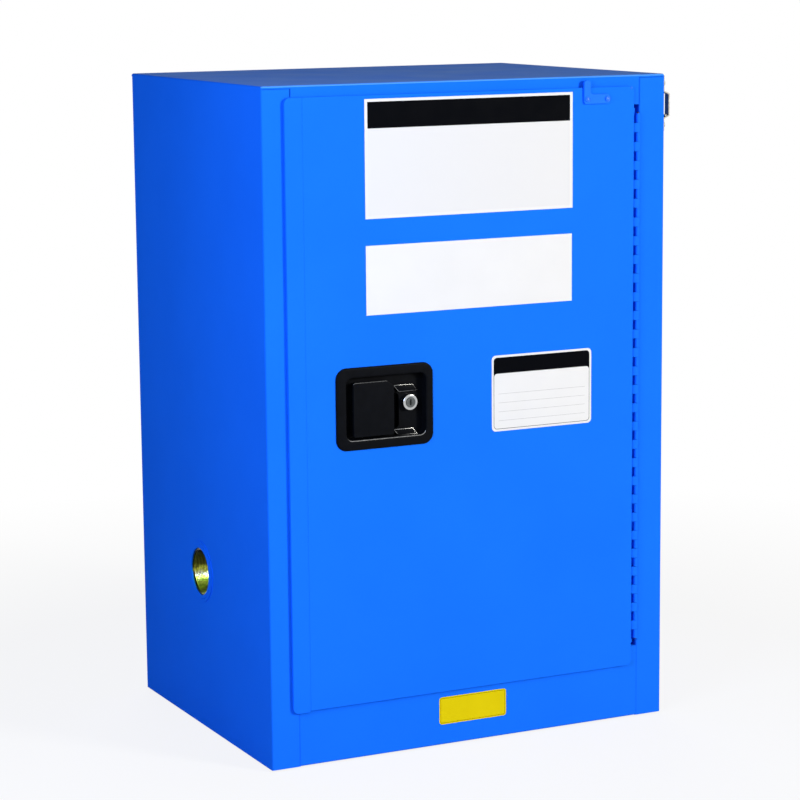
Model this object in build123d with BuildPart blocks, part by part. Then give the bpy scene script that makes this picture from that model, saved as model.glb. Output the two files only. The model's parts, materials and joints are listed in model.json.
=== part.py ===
from build123d import *
import math
import os

os.makedirs("parts", exist_ok=True)

# Cabinet body, outside sizes
cabinet_width = 591.0
cabinet_depth = 457.0
cabinet_height = 889.0
panel_lift = 2.0
base_rise = 12.0
base_flange = 15.0
rear_flange = 15.0
top_corner_radius = 3.0
top_drop = 4.0

# Sheet steel, gaps and clearances
sheet = 1.2
bend_share = 2.0
air_space = 38.0
seam = 0.5
running_clearance = 0.05
moving_clearance = 0.6
soft_share = 0.7
cut_over = 2.0

# Door frame
stile_width = 40.0
header_height = 40.0
sill_height = 102.0
jamb_depth = 38.0
jamb_lap = 6.0
rail_toe = 15.0

# Floor bearers under the sump
bearer_width = 40.0
bearer_foot = 18.0
bearer_spread = 220.0
bearer_length = 440.0

# Vents
vent_y = 7.0
low_vent_height = 220.0
high_vent_drop = 220.0
vent_mouth_radius = 32.5
bushing_radius = 33.0
bushing_bore = 30.0
bushing_reach = 2.0
flange_radius = 42.0
flange_thickness = 1.2
bead_radius = 37.5
bead_height = 2.4
arrester_thickness = 3.0
arrester_hole_radius = 1.9
arrester_hole_spacing = 6.4
arrester_rings = 4

# Shelf standards, hangers and shelf
standard_width = 20.0
standard_thickness = 2.5
standard_spread = 240.0
standard_bottom = 130.0
standard_length = 684.0
slot_pitch = 57.0
slot_width = 5.0
slot_height = 14.0
shelf_slot_count = 5
hanger_thickness = 1.5
hanger_width = 16.0
hanger_drop = 14.0
hanger_rise = 10.0
hanger_ledge = 14.0
hook_depth = 2.0
hook_gap = 0.4
shelf_gap = 1.5
shelf_front_gap = 10.0
shelf_back_gap = 4.0
shelf_flange = 25.0

# Spill trays
tray_wall = 3.0
tray_corner = 14.0
tray_rim = 4.0
tray_gap = 5.0
shelf_tray_height = 38.0
sump_tray_height = 42.0
sump_tray_gap = 3.5

# Levelling feet
foot_inset = 24.0
foot_radius = 12.0
foot_height = 8.0
foot_edge = 1.5
stem_radius = 5.0
stem_top = 44.0
nut_radius = 9.0
nut_height = 9.0

# Door
door_proud = 5.0
door_bottom = 76.5
door_top_gap = 15.0
door_corner = 8.0
skin_left_inset = 13.9
skin_right_inset = 10.7
skin_return = 3.5
strip_width = 24.0
strip_drop = 2.0
strip_tongue = 14.0
pan_gap = 5.0
pan_depth = 40.5
pan_side_flange = 9.0
pan_end_flange = 10.0

# Piano hinge
barrel_radius = 2.8
pin_radius = 1.25
hinge_leaf = 1.2
leaf_width = 26.0
knuckle_length = 12.7
knuckle_gap = 0.4
hinge_end_gap = 3.0
hinge_proud = 2.0
hinge_clearance = 0.4
pin_tip = 1.2
rivet_count = 9
rivet_end_gap = 30.0
rivet_radius = 1.6
rivet_head_radius = 3.0
rivet_head_height = 0.7
rivet_tail_radius = 2.4
rivet_tail_height = 1.0
rivet_reach_share = 0.62

# Handle dish
handle_inset = 111.2
handle_drop = 4.6
bezel_width = 140.0
bezel_height = 108.5
bezel_radius = 15.0
bezel_proud = 2.6
bezel_soft = 2.2
recess_width = 114.9
recess_height = 81.7
recess_shift = 2.0
recess_radius = 9.0
dish_wall = 2.5
dish_depth = 11.5
pocket_width = 40.5
pocket_height = 47.4
pocket_shift_x = 5.85
pocket_shift_z = -8.7
pocket_depth = 8.5
pocket_radius = 6.0
cutout_lap = 4.0
ledge_width = 36.0
ledge_height = 9.5
ledge_slope = 8.0
ledge_rise = 5.0
ledge_shift_x = 33.8
upper_ledge_shift = 16.3
lower_ledge_shift = -42.2

# Handle paddle, its pin and its spring
paddle_width = 58.6
paddle_height = 71.8
paddle_shift_x = -15.6
paddle_shift_z = -1.9
paddle_thickness = 4.0
paddle_proud = 1.0
paddle_corner = 3.0
paddle_soft = 1.0
paddle_chamfer_x = 10.5
paddle_chamfer_z = 6.4
paddle_swing = 30.0
pivot_inset = 6.5
pivot_depth = 6.5
handle_pin_radius = 2.0
lug_radius = 3.2
lug_height = 12.0
post_height = 5.0
post_inset = 1.2
lug_gap = 0.6
finger_height = 10.0
finger_thickness = 4.4
nose_radius = 3.0
nose_clearance = 0.5
spring_wire = 0.5
spring_radius = 2.9
spring_pitch = 1.5
spring_turns = 5

# Three point latch behind the dish
latch_depth = 27.0
bar_thickness = 4.0
bar_height = 20.0
bar_end_wall = 2.4
bolt_radius = 4.0
bolt_throw = 7.0
bolt_round_start = 95.0
bolt_nose = 2.5
hub_shift_x = 1.6
hub_radius = 17.0
hub_thickness = 3.0
hub_boss_radius = 9.0
hub_arm_radius = 4.6
hub_pin_radius = 2.0
hub_pivot_radius = 4.0
hub_gap = 1.0
slot_clearance = 0.3
slot_side_clearance = 0.5
rod_foot_wall = 1.5
rod_foot_end = 3.2
rod_foot_reach = 14.0
rod_foot_clearance = 1.2
latch_plate_thickness = 2.0
latch_plate_edge = 6.0
pillar_radius = 4.0
pillar_left = 25.4
pillar_right = 42.6
pillar_up = 25.0
pillar_down = 29.0
guide_neck_radius = 6.0
guide_flange_radius = 9.0
guide_flange = 3.0
notch_side = 1.6
notch_end = 2.0
notch_back = 0.8
strike_thickness = 2.5
strike_width = 40.0
strike_front_gap = 3.0
strike_slot_side = 0.9

# Lock
lock_shift_x = 39.5
lock_shift_z = 1.8
lock_collar_radius = 10.5
lock_collar_height = 8.0
lock_body_radius = 9.3
lock_plug_radius = 6.5
lock_plug_proud = 0.6
lock_edge = 1.0
key_slot_width = 1.8
key_slot_length = 8.0
key_slot_depth = 3.0
cam_thickness = 2.0
cam_length = 11.0
cam_radius = 4.0
cam_shaft_radius = 2.4
cam_gap = 0.5

# Hold open bracket on the door
bracket_inset_share = 0.162
bracket_drop = 37.0
bracket_rise = 31.5
bracket_post = 10.4
bracket_arm = 39.8
bracket_arm_height = 13.0
bracket_thickness = 3.0
bracket_corner = 4.0
bracket_screw_rise = 6.5
bracket_screw_in = 5.2
bracket_screw_out = 35.6
screw_radius = 2.0
screw_head_radius = 3.6
screw_head_height = 2.2
screw_length = 8.0
screw_dome = 1.2
socket_radius = 1.5
socket_depth = 1.2

# Hold open loop on the right side and the link that hangs from it
loop_width = 10.0
loop_thickness = 1.6
loop_front_gap = 3.0
loop_top_gap = 3.0
loop_length = 74.0
loop_lower_foot = 16.0
loop_upper_foot = 20.0
loop_rise = 4.0
loop_proud = 10.0
loop_bend = 1.8
loop_head_radius = 4.5
loop_head_height = 3.5
loop_head_dome = 2.2
hook_wire = 1.25
hook_turn = 4.0
hook_drop = 14.0
hook_rest_gap = 0.3
hook_tip_gap = 0.5
link_width = 7.5
link_thickness = 1.6
link_half = 36.0
link_lap = 14.0
link_hole_radius = 2.4
link_hole_edge = 4.5

# Grounding stud on the right side
stud_inset = 38.5
stud_z = 70.0
stud_radius = 3.0
stud_proud = 9.0
stud_inside = 6.0
washer_radius = 8.0
washer_thickness = 1.5
stud_nut_radius = 5.8
stud_nut_height = 4.5

# Stickers on the door and on the sill
sticker = 0.2
upper_label_width_share = 0.627
upper_label_height = 153.0
upper_label_shift = -4.1
upper_label_drop = 81.6
middle_label_width_share = 0.625
middle_label_height = 90.0
middle_label_shift = -4.6
middle_label_rise_share = 0.583
small_label_width = 152.0
small_label_height = 102.0
small_label_place_share = 0.537
small_label_rise = 3.5
small_label_corner = 6.0
sill_label_width = 101.5
sill_label_height = 37.7
sill_label_x = -0.2
sill_label_z = 48.9
sill_label_corner = 4.0

# Places worked out from the sizes above
half_width = cabinet_width / 2
half_depth = cabinet_depth / 2
front_y = -half_depth
back_y = half_depth
bend_radius = bend_share * sheet
soft_edge = soft_share * sheet
opening_half = half_width - stile_width
opening_top = cabinet_height - header_height
opening_bottom = sill_height
rail_half = opening_half - seam
return_end = front_y + jamb_depth
inner_front = return_end - jamb_lap
inner_back = back_y - 3 * sheet - air_space
inner_half = opening_half + sheet
inner_top = opening_top + sheet
base_top = base_rise + sheet
floor_z = base_top + air_space
side_top = cabinet_height - top_drop
high_vent_height = cabinet_height - high_vent_drop
bushing_end = inner_half - bushing_reach

standard_face = inner_half - standard_thickness
standard_places = (-standard_spread / 2, standard_spread / 2)
slot_count = int(standard_length // slot_pitch)
shelf_rest = standard_bottom + slot_pitch * shelf_slot_count + slot_pitch / 2
hanger_face = standard_face - hanger_thickness
shelf_half = hanger_face - shelf_gap
shelf_top = shelf_rest + shelf_flange

door_face = front_y - door_proud
door_top = cabinet_height - door_top_gap
skin_back = door_face + sheet
skin_left = -(opening_half - skin_left_inset)
skin_right = opening_half - skin_right_inset
skin_width = skin_right - skin_left
skin_middle = (skin_left + skin_right) / 2
strip_right = skin_left - seam
strip_left = strip_right - strip_width
hinge_x = opening_half - barrel_radius
hinge_y = front_y - hinge_proud
pan_left = -(opening_half - pan_gap)
pan_right = hinge_x - barrel_radius
pan_bottom = opening_bottom + pan_gap
pan_top = opening_top - pan_gap
pan_front = skin_back + sheet
pan_back = door_face + pan_depth
lip_front = hinge_y + barrel_radius + moving_clearance
shelf_front = pan_back + shelf_front_gap
shelf_back = inner_back - shelf_back_gap
hinge_room = opening_top - opening_bottom - 2 * hinge_end_gap
knuckle_count = 2 * int((hinge_room / knuckle_length - 1) // 2) + 1
hinge_bottom = (opening_bottom + opening_top - knuckle_count * knuckle_length) / 2
hinge_top = hinge_bottom + knuckle_count * knuckle_length
rivet_y = hinge_y + rivet_reach_share * leaf_width
rivet_step = (hinge_top - hinge_bottom - 2 * rivet_end_gap) / (rivet_count - 1)
rivet_heights = [hinge_bottom + rivet_end_gap + rivet_step * number for number in range(rivet_count)]

handle_x = skin_left + handle_inset
handle_z = (opening_bottom + opening_top) / 2 - handle_drop
dish_floor = door_face + dish_depth
dish_back = dish_floor + dish_wall
pocket_floor = dish_floor + pocket_depth
pocket_back = pocket_floor + dish_wall
recess_x = handle_x + recess_shift
pocket_x = handle_x + pocket_shift_x
pocket_z = handle_z + pocket_shift_z

paddle_x = handle_x + paddle_shift_x
paddle_z = handle_z + paddle_shift_z
paddle_left = paddle_x - paddle_width / 2
paddle_right = paddle_x + paddle_width / 2
paddle_bottom = paddle_z - paddle_height / 2
paddle_top = paddle_z + paddle_height / 2
paddle_front = door_face - paddle_proud
paddle_back = paddle_front + paddle_thickness
pivot_x = paddle_left + pivot_inset
pivot_y = door_face + pivot_depth
post_bottom = paddle_bottom + post_inset
post_top = paddle_top - post_inset

latch_y = door_face + latch_depth
latch_z = handle_z
bar_front = latch_y - bar_thickness / 2
bar_back = latch_y + bar_thickness / 2
finger_length = latch_y - pivot_y
swing = math.radians(paddle_swing)
bolt_travel = finger_length * math.sin(swing)
hub_half_turn = math.asin(bolt_travel / 2 / hub_radius)
hub_near = hub_radius * math.cos(hub_half_turn)
hub_mean = (hub_near + hub_radius) / 2
hub_stray = (hub_radius - hub_near) / 2
hub_x = handle_x + hub_shift_x
hub_z = latch_z - hub_mean
hub_front = bar_back + hub_gap
hub_back = hub_front + hub_thickness
latch_plate_front = hub_back + hub_gap
latch_plate_back = latch_plate_front + latch_plate_thickness
top_rod_x = hub_x + hub_mean
bottom_rod_x = hub_x - hub_mean
top_slot_z = hub_z + bolt_travel / 2
bottom_slot_z = hub_z - bolt_travel / 2
centre_slot_x = hub_x - bolt_travel / 2
top_bolt_tip = opening_top + bolt_throw
bottom_bolt_tip = opening_bottom - bolt_throw
centre_bolt_tip = -(opening_half + bolt_throw)
notch_half = bolt_radius + notch_side
notch_rear = latch_y + bolt_radius + notch_back
notch_reach = bolt_throw + notch_end
strike_limits_y = (front_y + strike_front_gap, inner_front - seam)
strike_slot_half = bolt_radius + strike_slot_side

lock_x = handle_x + lock_shift_x
lock_z = handle_z + lock_shift_z
lock_face = dish_floor - lock_collar_height
cam_back = latch_plate_front - cam_gap
cam_front = cam_back - cam_thickness
lock_rear = cam_front - running_clearance

bracket_left = skin_right - bracket_inset_share * skin_width
bracket_bottom = cabinet_height - bracket_drop
bracket_screw_places = [
    (bracket_left + bracket_screw_in, bracket_bottom + bracket_screw_rise),
    (bracket_left + bracket_screw_out, bracket_bottom + bracket_screw_rise),
]
loop_top = cabinet_height - loop_top_gap
loop_bottom = loop_top - loop_length
loop_eye_bottom = loop_bottom + loop_lower_foot
loop_eye_top = loop_top - loop_upper_foot
loop_front = front_y + loop_front_gap
loop_y = loop_front + loop_width / 2
loop_screw_heights = ((loop_bottom + loop_eye_bottom) / 2, (loop_eye_top + loop_top) / 2)
stud_y = back_y - stud_inset

upper_label_width = upper_label_width_share * skin_width
upper_label_x = skin_middle + upper_label_shift
upper_label_z = door_top - upper_label_drop
bezel_right = handle_x + bezel_width / 2
small_label_x = bezel_right + small_label_place_share * (skin_right - bezel_right)
small_label_z = handle_z + small_label_rise
middle_label_width = middle_label_width_share * skin_width
middle_label_x = skin_middle + middle_label_shift
label_room_bottom = small_label_z + small_label_height / 2
label_room_top = upper_label_z - upper_label_height / 2
middle_label_z = label_room_bottom + middle_label_rise_share * (label_room_top - label_room_bottom)

foot_places = [
    (side_x * (half_width - foot_inset), side_y * (half_depth - foot_inset))
    for side_x in (-1, 1)
    for side_y in (-1, 1)
]


def keep(piece, name):
    """Name a finished piece and write it to its own file."""
    piece.part.label = name
    export_step(piece.part, f"parts/{name}.step")


def block(x_limits, y_limits, z_limits, mode=Mode.ADD):
    """A box between two limits on each axis."""
    limits = (x_limits, y_limits, z_limits)
    centre = tuple((low + high) / 2 for low, high in limits)
    lengths = [abs(high - low) for low, high in limits]
    with Locations(centre):
        Box(*lengths, mode=mode)


def folded_sheet(points, plane, length, inside, thickness=sheet, radius=bend_radius):
    """A bent strip whose outer face follows the points, drawn out along the plane's normal."""
    with BuildSketch(plane) as profile:
        with BuildLine():
            FilletPolyline(*points, radius=radius)
            offset(amount=thickness, side=inside)
        make_face()
    extrude(profile.sketch, amount=length)


def round_x(y, z, radius, x_limits, mode=Mode.ADD):
    """A cylinder along X."""
    with BuildSketch(Plane.YZ.offset(x_limits[0])) as profile:
        with Locations((y, z)):
            Circle(radius)
    extrude(profile.sketch, amount=x_limits[1] - x_limits[0], mode=mode)


def round_y(x, z, radius, y_limits, mode=Mode.ADD):
    """A cylinder along Y."""
    with BuildSketch(Plane.XZ.offset(-y_limits[0])) as profile:
        with Locations((x, z)):
            Circle(radius)
    extrude(profile.sketch, amount=y_limits[0] - y_limits[1], mode=mode)


def round_z(x, y, radius, z_limits, mode=Mode.ADD):
    """A cylinder along Z."""
    with BuildSketch(Plane.XY.offset(z_limits[0])) as profile:
        with Locations((x, y)):
            Circle(radius)
    extrude(profile.sketch, amount=z_limits[1] - z_limits[0], mode=mode)


def rounded_plate(x, z, width, height, corner, y_limits, mode=Mode.ADD):
    """A plate with rounded corners, facing the front."""
    with BuildSketch(Plane.XZ.offset(-y_limits[0])) as profile:
        with Locations((x, z)):
            RectangleRounded(width, height, corner)
    extrude(profile.sketch, amount=y_limits[0] - y_limits[1], mode=mode)


def mirrored(limit_a, limit_b, side):
    """Limits on X measured from the middle, on one side of it."""
    return (side * limit_a, side * limit_b)


def about(centre, half):
    """Limits the same distance either side of a centre."""
    return (centre - half, centre + half)


vent_heights = {-1: low_vent_height, 1: high_vent_height}
side_names = {-1: "left", 1: "right"}

# Outer side panels with stile, jamb return and rear flange
for side, side_name in side_names.items():
    side_outline = [
        (side * (half_width - rear_flange), back_y),
        (side * half_width, back_y),
        (side * half_width, front_y),
        (side * opening_half, front_y),
        (side * opening_half, return_end),
    ]
    with BuildPart() as side_panel:
        turn = Side.RIGHT if side > 0 else Side.LEFT
        folded_sheet(side_outline, Plane.XY.offset(panel_lift), side_top - panel_lift, turn)
        return_x = mirrored(opening_half - cut_over, opening_half + sheet + cut_over, side)
        return_y = (front_y + bend_radius, return_end + cut_over)
        block(return_x, return_y, (panel_lift - cut_over, opening_bottom - sheet), Mode.SUBTRACT)
        block(return_x, return_y, (inner_top, side_top + cut_over), Mode.SUBTRACT)
        stile_x = mirrored(opening_half - cut_over, half_width - sheet, side)
        stile_y = (front_y - cut_over, front_y + bend_radius)
        block(stile_x, stile_y, (side_top - seam, side_top + cut_over), Mode.SUBTRACT)
        wall_x = mirrored(half_width - sheet - cut_over, half_width + cut_over, side)
        round_x(vent_y, vent_heights[side], bushing_radius, wall_x, Mode.SUBTRACT)
        if side < 0:
            notch_x = (centre_bolt_tip - notch_end, -(opening_half - cut_over))
            notch_y = (front_y - cut_over, notch_rear)
            block(notch_x, notch_y, about(latch_z, notch_half), Mode.SUBTRACT)
        else:
            for height in loop_screw_heights:
                round_x(loop_y, height, screw_radius, wall_x, Mode.SUBTRACT)
            round_x(stud_y, stud_z, stud_radius, wall_x, Mode.SUBTRACT)
            for height in rivet_heights:
                jamb_x = (opening_half - cut_over, opening_half + sheet + cut_over)
                round_x(rivet_y, height, rivet_radius, jamb_x, Mode.SUBTRACT)
    keep(side_panel, f"{side_name}_outer_panel")

# Top panel with the header above the door
with BuildPart() as top_panel:
    top_outline = [
        (-half_width, side_top),
        (-half_width, cabinet_height),
        (half_width, cabinet_height),
        (half_width, side_top),
    ]
    front_plane = Plane.XZ.offset(half_depth)
    folded_sheet(top_outline, front_plane, -cabinet_depth, Side.RIGHT, radius=top_corner_radius)
    with BuildSketch(front_plane) as brow:
        with Locations((0, cabinet_height - top_drop / 2)):
            Rectangle(cabinet_width, top_drop)
        fillet(brow.vertices().group_by(Axis.Y)[-1], radius=top_corner_radius)
        with Locations((0, (opening_top + side_top) / 2)):
            Rectangle(2 * rail_half, side_top - opening_top)
    extrude(amount=-sheet)
    block(about(0, rail_half), (front_y, return_end), (opening_top, inner_top))
    rear_lip = half_width - rear_flange - seam
    block(about(0, rear_lip), (back_y - sheet, back_y), (cabinet_height - rear_flange, cabinet_height - sheet))
    brow_face = top_panel.faces().filter_by(Axis.Y).sort_by(Axis.Y)[0]
    brow_edges = [edge for edge in brow_face.edges() if edge.center().Z > side_top + seam / 2]
    fillet(brow_edges, radius=bend_radius)
    header_edges = top_panel.edges().filter_by(Axis.X).group_by(Axis.Z)[0].sort_by(Axis.Y)[0]
    fillet(header_edges, radius=soft_edge)
    header_notch_z = (opening_top - cut_over, opening_top + notch_reach)
    block(about(top_rod_x, notch_half), (front_y - cut_over, notch_rear), header_notch_z, Mode.SUBTRACT)
keep(top_panel, "top_outer_panel")

# Outer back
with BuildPart() as back_panel:
    back_y_limits = (back_y - 2 * sheet, back_y - sheet)
    block(about(0, half_width - bend_radius), back_y_limits, (panel_lift, side_top))
keep(back_panel, "back_outer_panel")

# Base panel with upturned flanges and holes for the feet
with BuildPart() as base_panel:
    base_front = front_y + bend_radius + seam
    base_back = back_y - 2 * sheet
    base_half = half_width - sheet
    block(about(0, base_half), (base_front, base_back), (base_rise, base_top))
    toe_half = opening_half - 2 * bend_radius
    block(about(0, toe_half), (front_y + sheet, base_front), (base_rise, base_top))
    flange_z = (base_rise, base_rise + base_flange)
    block(about(0, toe_half), (front_y + sheet, front_y + 2 * sheet), flange_z)
    block(about(0, base_half), (base_back - sheet, base_back), flange_z)
    for side in side_names:
        block(mirrored(base_half - sheet, base_half, side), (base_front, base_back), flange_z)
    for foot_x, foot_y in foot_places:
        foot_hole_z = (base_rise - cut_over, base_top + cut_over)
        round_z(foot_x, foot_y, stem_radius + moving_clearance, foot_hole_z, Mode.SUBTRACT)
keep(base_panel, "base_panel")

# Rail under the door with the sill on top
with BuildPart() as bottom_rail:
    rail_outline = [
        (front_y + rail_toe, panel_lift),
        (front_y, panel_lift),
        (front_y, opening_bottom),
        (return_end, opening_bottom),
    ]
    folded_sheet(rail_outline, Plane.YZ.offset(-rail_half), 2 * rail_half, Side.RIGHT)
    sill_notch_z = (opening_bottom - notch_reach, opening_bottom + cut_over)
    block(about(bottom_rod_x, notch_half), (front_y - cut_over, notch_rear), sill_notch_z, Mode.SUBTRACT)
keep(bottom_rail, "bottom_front_rail")

# Inner side walls, each bored for its vent
for side, side_name in side_names.items():
    with BuildPart() as inner_side:
        inner_x = mirrored(inner_half, inner_half + sheet, side)
        block(inner_x, (inner_front, inner_back), (floor_z, inner_top + sheet))
        bore_x = mirrored(inner_half - cut_over, inner_half + sheet + cut_over, side)
        round_x(vent_y, vent_heights[side], bushing_radius, bore_x, Mode.SUBTRACT)
    keep(inner_side, f"{side_name}_inner_wall")

with BuildPart() as inner_roof:
    block(about(0, inner_half), (inner_front, inner_back), (inner_top, inner_top + sheet))
keep(inner_roof, "inner_roof")

with BuildPart() as inner_rear:
    block(about(0, inner_half + sheet), (inner_back, inner_back + sheet), (floor_z, inner_top + sheet))
keep(inner_rear, "inner_back_wall")

# Leak tight sump below the sill
with BuildPart() as sump_pan:
    sump_front = return_end - 3 * sheet
    sump_top = opening_bottom - sheet
    block(about(0, inner_half), (sump_front, inner_back), (floor_z, sump_top))
    sump_inside_y = (sump_front + sheet, inner_back - sheet)
    block(about(0, opening_half), sump_inside_y, (floor_z + sheet, sump_top + cut_over), Mode.SUBTRACT)
keep(sump_pan, "sump_pan")

# Two hat channels that carry the sump on the base
with BuildPart() as floor_bearers:
    for bearer_y in about(0, bearer_spread / 2):
        bearer_outline = [
            (bearer_y - bearer_width / 2 - bearer_foot, base_top + sheet),
            (bearer_y - bearer_width / 2, base_top + sheet),
            (bearer_y - bearer_width / 2, floor_z),
            (bearer_y + bearer_width / 2, floor_z),
            (bearer_y + bearer_width / 2, base_top + sheet),
            (bearer_y + bearer_width / 2 + bearer_foot, base_top + sheet),
        ]
        bearer_plane = Plane.YZ.offset(-bearer_length / 2)
        folded_sheet(bearer_outline, bearer_plane, bearer_length, Side.RIGHT)
keep(floor_bearers, "floor_bearers")

# Vents: painted flange outside, pipe bushing through both walls, flame arrester inside
for side, side_name in side_names.items():
    vent_z = vent_heights[side]
    with BuildPart() as vent_flange:
        round_x(vent_y, vent_z, flange_radius, mirrored(half_width, half_width + flange_thickness, side))
        round_x(vent_y, vent_z, bead_radius, mirrored(half_width, half_width + bead_height, side))
        mouth_x = mirrored(half_width - cut_over, half_width + bead_height + cut_over, side)
        round_x(vent_y, vent_z, vent_mouth_radius, mouth_x, Mode.SUBTRACT)
        bead_face = vent_flange.faces().filter_by(Axis.X).sort_by(Axis.X)[-1 if side > 0 else 0]
        fillet(bead_face.edges(), radius=soft_edge)
    keep(vent_flange, f"{side_name}_vent_flange")
    with BuildPart() as vent_bushing:
        bushing_x = mirrored(half_width, bushing_end, side)
        round_x(vent_y, vent_z, bushing_radius, bushing_x)
        bushing_cut_x = mirrored(half_width + cut_over, bushing_end - cut_over, side)
        round_x(vent_y, vent_z, bushing_bore, bushing_cut_x, Mode.SUBTRACT)
    keep(vent_bushing, f"{side_name}_vent_bushing")

with BuildPart() as flame_arresters:
    for side in side_names:
        vent_z = vent_heights[side]
        arrester_x = mirrored(bushing_end - arrester_thickness, bushing_end, side)
        round_x(vent_y, vent_z, bushing_radius, arrester_x)
        with BuildSketch(Plane.YZ.offset(side * (bushing_end - arrester_thickness - cut_over))):
            with Locations((vent_y, vent_z)):
                Circle(arrester_hole_radius)
                for ring in range(1, arrester_rings + 1):
                    with PolarLocations(ring * arrester_hole_spacing, 6 * ring):
                        Circle(arrester_hole_radius)
        arrester_cut = side * (arrester_thickness + 2 * cut_over)
        extrude(amount=arrester_cut, mode=Mode.SUBTRACT)
keep(flame_arresters, "flame_arresters")

# Slotted standards on the inner side walls
with BuildPart() as shelf_standards:
    for side in side_names:
        for place in standard_places:
            standard_z = (standard_bottom, standard_bottom + standard_length)
            standard_y = about(place, standard_width / 2)
            block(mirrored(standard_face, inner_half, side), standard_y, standard_z)
            for number in range(slot_count):
                slot_z = standard_bottom + slot_pitch * number + slot_pitch / 2
                slot_x = mirrored(standard_face - cut_over, inner_half + cut_over, side)
                slot_y = about(place, slot_width / 2)
                block(slot_x, slot_y, about(slot_z, slot_height / 2), Mode.SUBTRACT)
keep(shelf_standards, "shelf_standards")

# Hangers hooked into the standards
with BuildPart() as shelf_hangers:
    for side in side_names:
        for place in standard_places:
            hanger_y = about(place, hanger_width / 2)
            hanger_z = (shelf_rest - hanger_drop, shelf_rest + hanger_rise)
            block(mirrored(hanger_face, standard_face, side), hanger_y, hanger_z)
            ledge_x = mirrored(hanger_face - hanger_ledge, hanger_face, side)
            block(ledge_x, hanger_y, (shelf_rest - hanger_thickness, shelf_rest))
            hook_x = mirrored(standard_face, standard_face + hook_depth, side)
            hook_z = about(shelf_rest, slot_height / 2 - hook_gap)
            block(hook_x, about(place, slot_width / 2 - hook_gap), hook_z)
keep(shelf_hangers, "shelf_hangers")

# Shelf with downturned edges
with BuildPart() as shelf:
    block(about(0, shelf_half), (shelf_front, shelf_back), (shelf_rest, shelf_top))
    fillet(shelf.edges().filter_by(Axis.X).group_by(Axis.Z)[-1], radius=bend_radius)
    shelf_inside_y = (shelf_front + sheet, shelf_back - sheet)
    shelf_inside_z = (shelf_rest - cut_over, shelf_top - sheet)
    block(about(0, shelf_half - sheet), shelf_inside_y, shelf_inside_z, Mode.SUBTRACT)
keep(shelf, "shelf")


def spill_tray(y_limits, half, bottom, height):
    """A plastic tray with a rolled rim, open at the top."""
    length = y_limits[1] - y_limits[0]
    with BuildPart() as tray:
        with BuildSketch(Plane.XY.offset(bottom)):
            with Locations((0, sum(y_limits) / 2)):
                RectangleRounded(2 * half, length, tray_corner)
        extrude(amount=height)
        with BuildSketch(Plane.XY.offset(bottom + height - tray_wall)):
            with Locations((0, sum(y_limits) / 2)):
                RectangleRounded(2 * half + 2 * tray_rim, length + 2 * tray_rim, tray_corner + tray_rim)
        extrude(amount=tray_wall)
        with BuildSketch(Plane.XY.offset(bottom + tray_wall)):
            with Locations((0, sum(y_limits) / 2)):
                inside = (2 * half - 2 * tray_wall, length - 2 * tray_wall)
                RectangleRounded(*inside, tray_corner - tray_wall)
        extrude(amount=height, mode=Mode.SUBTRACT)
    return tray


shelf_tray_y = (shelf_front + tray_gap + tray_rim, shelf_back - tray_gap - tray_rim)
shelf_tray = spill_tray(shelf_tray_y, shelf_half - tray_gap - tray_rim, shelf_top, shelf_tray_height)
keep(shelf_tray, "shelf_tray")

sump_room = sump_tray_gap + tray_rim
sump_tray_y = (sump_inside_y[0] + sump_room, sump_inside_y[1] - sump_room)
sump_tray = spill_tray(sump_tray_y, opening_half - sump_room, floor_z + sheet, sump_tray_height)
keep(sump_tray, "sump_tray")

# Levelling feet and the nuts they turn in
foot_names = ("front_left_foot", "back_left_foot", "front_right_foot", "back_right_foot")
for (foot_x, foot_y), foot_name in zip(foot_places, foot_names):
    with BuildPart() as foot:
        round_z(foot_x, foot_y, foot_radius, (0, foot_height))
        fillet(foot.edges().filter_by(GeomType.CIRCLE), radius=foot_edge)
        round_z(foot_x, foot_y, stem_radius, (foot_height, stem_top))
    keep(foot, foot_name)

with BuildPart() as foot_nuts:
    for foot_x, foot_y in foot_places:
        with BuildSketch(Plane.XY.offset(base_top)):
            with Locations((foot_x, foot_y)):
                RegularPolygon(nut_radius, 6)
                Circle(stem_radius + running_clearance, mode=Mode.SUBTRACT)
        extrude(amount=nut_height)
keep(foot_nuts, "foot_nuts")


def hinge_half(own_first, leaf_side):
    """One leaf of the piano hinge with every second knuckle."""
    leaf_x = (hinge_x + leaf_side * (barrel_radius - hinge_leaf), hinge_x + leaf_side * barrel_radius)
    own = [number for number in range(knuckle_count) if number % 2 == own_first]
    with BuildPart() as leaf:
        block(leaf_x, (hinge_y, hinge_y + leaf_width), (hinge_bottom, hinge_top))
        barrel_room = barrel_radius + hinge_clearance
        round_z(hinge_x, hinge_y, barrel_room, (hinge_bottom - cut_over, hinge_top + cut_over), Mode.SUBTRACT)
        for number in own:
            low = hinge_bottom + knuckle_length * number + knuckle_gap / 2
            high = hinge_bottom + knuckle_length * (number + 1) - knuckle_gap / 2
            round_z(hinge_x, hinge_y, barrel_radius, (low, high))
            block(leaf_x, (hinge_y, hinge_y + barrel_room + hinge_leaf), (low, high))
        pin_z = (hinge_bottom - cut_over, hinge_top + cut_over)
        round_z(hinge_x, hinge_y, pin_radius + running_clearance, pin_z, Mode.SUBTRACT)
        rivet_x = (leaf_x[0] - leaf_side * cut_over, leaf_x[1] + leaf_side * cut_over)
        for height in rivet_heights:
            round_x(rivet_y, height, rivet_radius, rivet_x, Mode.SUBTRACT)
    return leaf


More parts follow.
